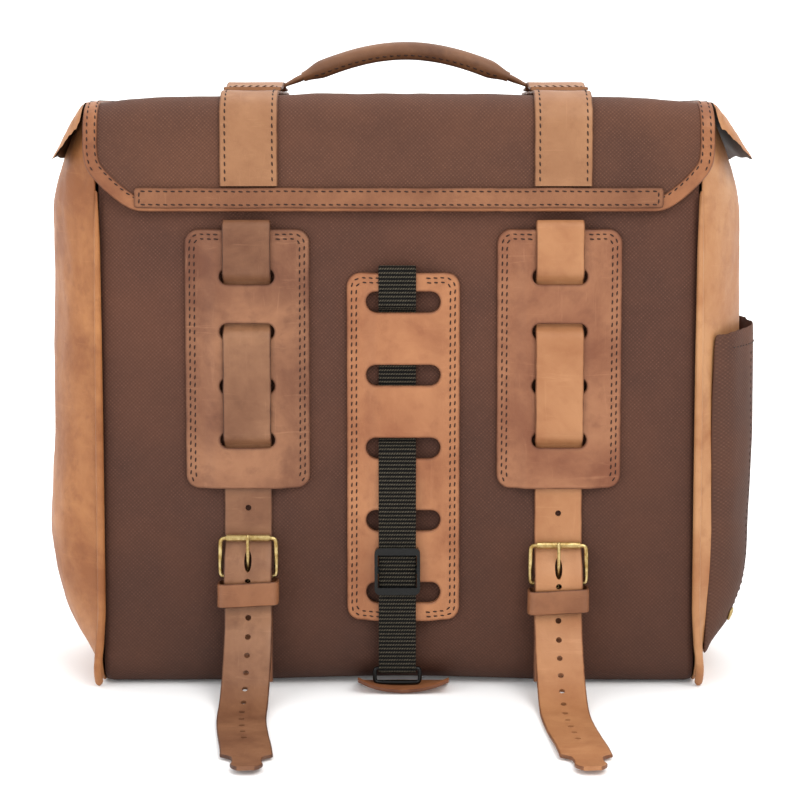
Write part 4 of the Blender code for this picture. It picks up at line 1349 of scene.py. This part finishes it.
def skirt_move(side):
    """The ear hangs a little and its rack-side end follows the flap's edge down round the shoulder."""
    short = 0.0090 if side < 0 else 0.0035
    end_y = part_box("flap_skirt_left")[0].y

    def move(p):
        out = min(1.0, max(0.0, (abs(p.x) - EAR_ROOT_X) / EAR_REACH))
        turned = min(1.0, max(0.0, (TURN_Y - p.y) / (TURN_Y - end_y)))
        y, drop = shoulder(turned * EAR_EDGE_LENGTH)
        if turned:
            p.y += (1 - out) * (y - p.y) - out * 0.011 * turned
        p.z += (1 - out) * drop - out * 0.002 * turned
        p.x += side * (0.0016 * out * wobble((0, p.y, 0), 0.05,
            30 + side) - short * out - 0.0015 * (1 - out))
        p.z += 0.0022 * out * wobble((0, p.y, 0), 0.035, 33 + side) - 0.0045 * out * smooth_step(0.01,
            0.07, p.y)
        return p
    return move


def make_skirts():
    """The leather ears that close the flap's ends, rough side down."""
    for side, hand in ((-1, "left"), (1, "right")):
        piece = softened(
            f"flap_ear_{hand}", f"flap_skirt_{hand}", 3, SIDE_LEATHER, "flap",
            move=skirt_move(side),
        )
        piece.data.materials.append(SUEDE)
        for face in piece.data.polygons:
            face.material_index = 1 if face.normal.z < -0.15 else 0


def make_tapes():
    """The two wide straps sewn over the flap, with a patch that holds the handle's end."""
    bend_z = FLAP_TOP_Z - FLAP_BEND_R
    face = FLAP_FACE + LAYER_GAP + STRAP_T / 2
    r = FLAP_BEND_R + LAYER_GAP + STRAP_T / 2
    for hand in ("left", "right"):
        low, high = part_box(f"tape_{hand}")
        x = (low.x + high.x) / 2
        line = [Vector((-face, FLAP_BACK_EDGE_Z + 0.0158))] + arc((HINGE_Y, bend_z), r, 180, 90, 16)
        line += arc((-HINGE_Y, bend_z), r, 90, 0, 16) + [Vector((face, low.z))]
        path = [Vector((x, p.x, p.y)) for p in line]
        mesh = strip_mesh(f"tape_{hand}_leather", path, (1, 0, 0), TAPE_WIDTH, STRAP_T - 0.0001,
            across_steps=10)
        place_piece(f"tape_{hand}_leather", mesh, TAPE_LEATHER, "flap",
                    stands_for=(f"tape_back_{hand}", f"tape_{hand}"), blended=True)
        even = even_path(path, 0.002)
        rows = []
        for dx in (-TAPE_WIDTH / 2 + 0.0036, TAPE_WIDTH / 2 - 0.0036):
            row = []
            for i in range(1, len(even) - 1):
                along = (even[i + 1] - even[i - 1]).normalized()
                normal = Vector((0, -along.z, along.y))
                row.append((even[i] + Vector((dx, 0, 0)) + normal * (STRAP_T / 2 + 0.0001), normal))
            rows.append(row)
        stitch_rows(f"tape_{hand}_stitches", rows, "flap", blended=True)
        make_handle_patch(hand, x)


def make_handle_patch(hand, x):
    base = FLAP_TOP_Z + LAYER_GAP + STRAP_T + 0.0014
    profile = [(-0.040, base), (-0.030, base + 0.0001), (-0.019, base + 0.0010), (-0.008, base + 0.0036),
               (0.008, base + 0.0036), (0.019, base + 0.0010), (0.030, base + 0.0001), (0.040, base)]
    path = [Vector((x, p.x, p.y)) for p in smooth_path(profile, 6)]
    mesh = strip_mesh(f"handle_patch_{hand}", path, (1, 0, 0), TAPE_WIDTH + 0.0008, 0.0024, across_steps=10)
    place_piece(f"handle_patch_{hand}", mesh, TAPE_LEATHER, "flap")
    rows = []
    for y in (-0.036, -0.021, 0.021, 0.036):
        z = base + 0.0013 + (0.0007 if abs(y) < 0.03 else 0.0)
        rows.append([((x - 0.0150 + 0.0025 * k, y, z), (0, 0, 1)) for k in range(13)])
    for dx in (-0.0158, 0.0158):
        for y0 in (-0.036, 0.021):
            rows.append([((x + dx, y0 + 0.0025 * k, base + 0.0014), (0, 0, 1)) for k in range(7)])
    stitch_rows(f"handle_patch_{hand}_stitches", rows, "flap")


# ---------------------------------------------------------------- handle

def oval_sweep(name, line, half_y, half_z, steps=20, seam=0.0):
    """A bar of oval section along a line in the XZ plane; half sizes are functions from -1 to 1."""
    points, faces = [], []
    n = len(line)
    for i, p in enumerate(line):
        t = -1 + 2 * i / (n - 1)
        along = (line[min(i + 1, n - 1)] - line[max(i - 1, 0)]).normalized()
        up = Vector((-along.z, 0, along.x))
        for k in range(steps):
            angle = 2 * math.pi * k / steps
            swell = 1 + 0.012 * wobble((p.x, angle * 0.01, 0), 0.012, 40.0)
            ridge = seam * math.exp(-((angle - math.radians(235)) / 0.22) ** 2)
            y = math.cos(angle) * (half_y(t) * swell + ridge)
            z = math.sin(angle) * (half_z(t) * swell + ridge)
            points.append(p + Vector((0, y, 0)) + up * z)
    for i in range(n - 1):
        for k in range(steps):
            a, b = i * steps + k, i * steps + (k + 1) % steps
            faces.append((a, b, b + steps, a + steps))
    faces.append(tuple(reversed(range(steps))))
    faces.append(tuple((n - 1) * steps + k for k in range(steps)))
    return mesh_from(name, points, faces)


def make_handle():
    """A leather grip, sewn along its lower edge, on a strap that runs under the two patches."""
    core_low, core_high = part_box("handle_core")
    grip_low, grip_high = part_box("handle_grip")
    half = (core_high.x - core_low.x) / 2 + 0.006
    base_z = core_low.z + 0.003
    rise = core_high.z - 0.003 - base_z

    def at(t):
        return Vector((HANDLE_X + t * half, 0.0,
            base_z + rise * math.cos(min(1.0, abs(t) * 1.02) * math.pi / 2)))

    core = [at(-1 + k / 40) for k in range(81)]
    mesh = oval_sweep(
        "handle_strap", core, lambda t: 0.0012 + 0.0034 * smooth_step(0.90, 0.78, abs(t)),
        lambda t: 0.0012 + 0.0012 * smooth_step(0.95, 0.80, abs(t)), steps=16,
    )
    place_piece("handle_strap", mesh, GRIP_LEATHER, "handle", stands_for=("handle_core",))
    share = (grip_high.x - grip_low.x) / 2 / half
    grip = [at(share * (-1 + k / 45)) for k in range(91)]

    def taper(t):
        return smooth_step(1.0, 0.80, abs(t)) if abs(t) > 0.80 else 1.0

    mesh = oval_sweep(
        "handle_grip_wrap", grip, lambda t: 0.0048 + 0.0020 * taper(t), lambda t: 0.0034 + 0.0029 * taper(t),
        steps=28, seam=0.0007,
    )
    place_piece("handle_grip_wrap", mesh, GRIP_LEATHER, "handle", stands_for=("handle_grip",))
    row = []
    for k in range(4, 87):
        t = -1 + k / 45
        p = grip[k]
        along = (grip[k + 1] - grip[k - 1]).normalized()
        up = Vector((-along.z, 0, along.x))
        angle = math.radians(212)
        out = Vector((0, math.cos(angle), 0)) + up * math.sin(angle)
        size = Vector((0, math.cos(angle) * (0.0048 + 0.0020 * taper(t)), 0)) \
            + up * math.sin(angle) * (0.0034 + 0.0029 * taper(t))
        row.append((p + size + out.normalized() * 0.0001, out.normalized()))
    stitch_rows("handle_stitches", [row], "handle")


# ---------------------------------------------------------------- front closures

def make_closures():
    for hand, x in (("left", LEFT_X), ("right", RIGHT_X)):
        z = middle_of(f"closure_{hand}_roller")[2]
        route = [
            (0.0066, 0.2610), (0.0066, 0.252), (0.0074, 0.242), (0.0096, 0.232), (0.0098, 0.2165),
            (0.0076, 0.205), (0.0046, 0.192), *strap_through_buckle(z), (0.0090, z - 0.066), (0.0088,
                z - 0.088),
        ]
        path = on_wall(1, x, smooth_path(route, 6))
        make_buckled_strap(f"closure_strap_{hand}", path, x, 1, z, STRAP_RIGHT_LEATHER, "flap", 0.0, 2)
        make_chape(f"closure_chape_{hand}", x, z, 1, z - 0.078, "flap")
        make_keeper_loop(f"closure_keeper_{hand}")
        dress_buckle(f"closure_{hand}")
        for part in ("cap", "base"):
            bevel_node(f"snap_{part}_{hand}", BRASS, 0.0005)


# ---------------------------------------------------------------- stage

def make_stage():
    """A pale paper sweep: level under the bag, then curving up behind it."""
    profile = [Vector((-6.0, 0.0)), Vector((-3.0, 0.0)), Vector((1.0, 0.0))] + arc((1.6, 1.2), 1.2, 270,
        360, 24)
    profile += [Vector((2.8, 6.0))]
    points = []
    for p in profile:
        points += [(-7, p.x, p.y - 0.0004), (7, p.x, p.y - 0.0004)]
    faces = [(2 * i, 2 * i + 1, 2 * i + 3, 2 * i + 2) for i in range(len(profile) - 1)]
    floor_mesh = mesh_from("floor", points, faces)
    floor = add_object("floor", floor_mesh)
    m = Finish("pale_floor", 0.9, specular=0.1)
    place = m.place()
    tone = m.noise(place, 3.0, 2.0)
    m.set("Base Color", m.mix(tone, (0.90, 0.90, 0.90, 1), (0.91, 0.91, 0.91, 1)))
    depth = m.add("SeparateXYZ", {"Vector": place}).outputs["Y"]
    m.shader.inputs["Emission Color"].default_value = (1.0, 1.0, 1.0, 1.0)
    m.set("Emission Strength", m.between(depth, 0.0, 1.3, 0.06, 0.45))
    floor_mesh.materials.append(m.material)


def area_light(name, place, target, size, power, colour=(1, 1, 1)):
    light = bpy.data.lights.new(name, "AREA")
    light.shape = "RECTANGLE"
    light.size, light.size_y = size
    light.energy = power
    light.color = colour
    obj = add_object(name, light)
    obj.location = place
    obj.rotation_euler = (Vector(target) - Vector(place)).to_track_quat("-Z", "Y").to_euler()


def make_lights():
    world = bpy.data.worlds.new("studio")
    world.use_nodes = True
    world.node_tree.nodes["Background"].inputs["Color"].default_value = (1.0, 1.0, 1.0, 1.0)
    world.node_tree.nodes["Background"].inputs["Strength"].default_value = 1.0
    bpy.context.scene.world = world
    middle = (0, 0, 0.2)
    area_light("key", (0.9, -1.5, 1.7), middle, (1.2, 1.2), 26, (1.0, 0.985, 0.965))
    area_light("fill", (-1.5, -1.2, 0.9), middle, (1.4, 1.2), 12, (0.97, 0.985, 1.0))
    area_light("top", (0.0, 0.3, 1.9), middle, (1.8, 1.4), 16)
    bpy.context.scene.view_settings.view_transform = "Standard"


def make_camera():
    camera = bpy.data.cameras.new("camera")
    camera.lens = 89.8
    camera.shift_y = -0.139
    camera.sensor_width = 36.0
    obj = add_object("camera", camera)
    obj.location = (0.0008, -1.400, 0.387)
    obj.rotation_euler = (math.radians(90 - 5.0), 0, 0)
    bpy.context.scene.camera = obj


make_canvas_shell()
make_gussets()
make_side_pocket()
make_insides()
make_panels()
make_rack_straps()
make_centre_strap()
make_flap_canvas()
make_flap_binding()
make_skirts()
make_tapes()
make_handle()
make_closures()
make_stage()
make_lights()
make_camera()
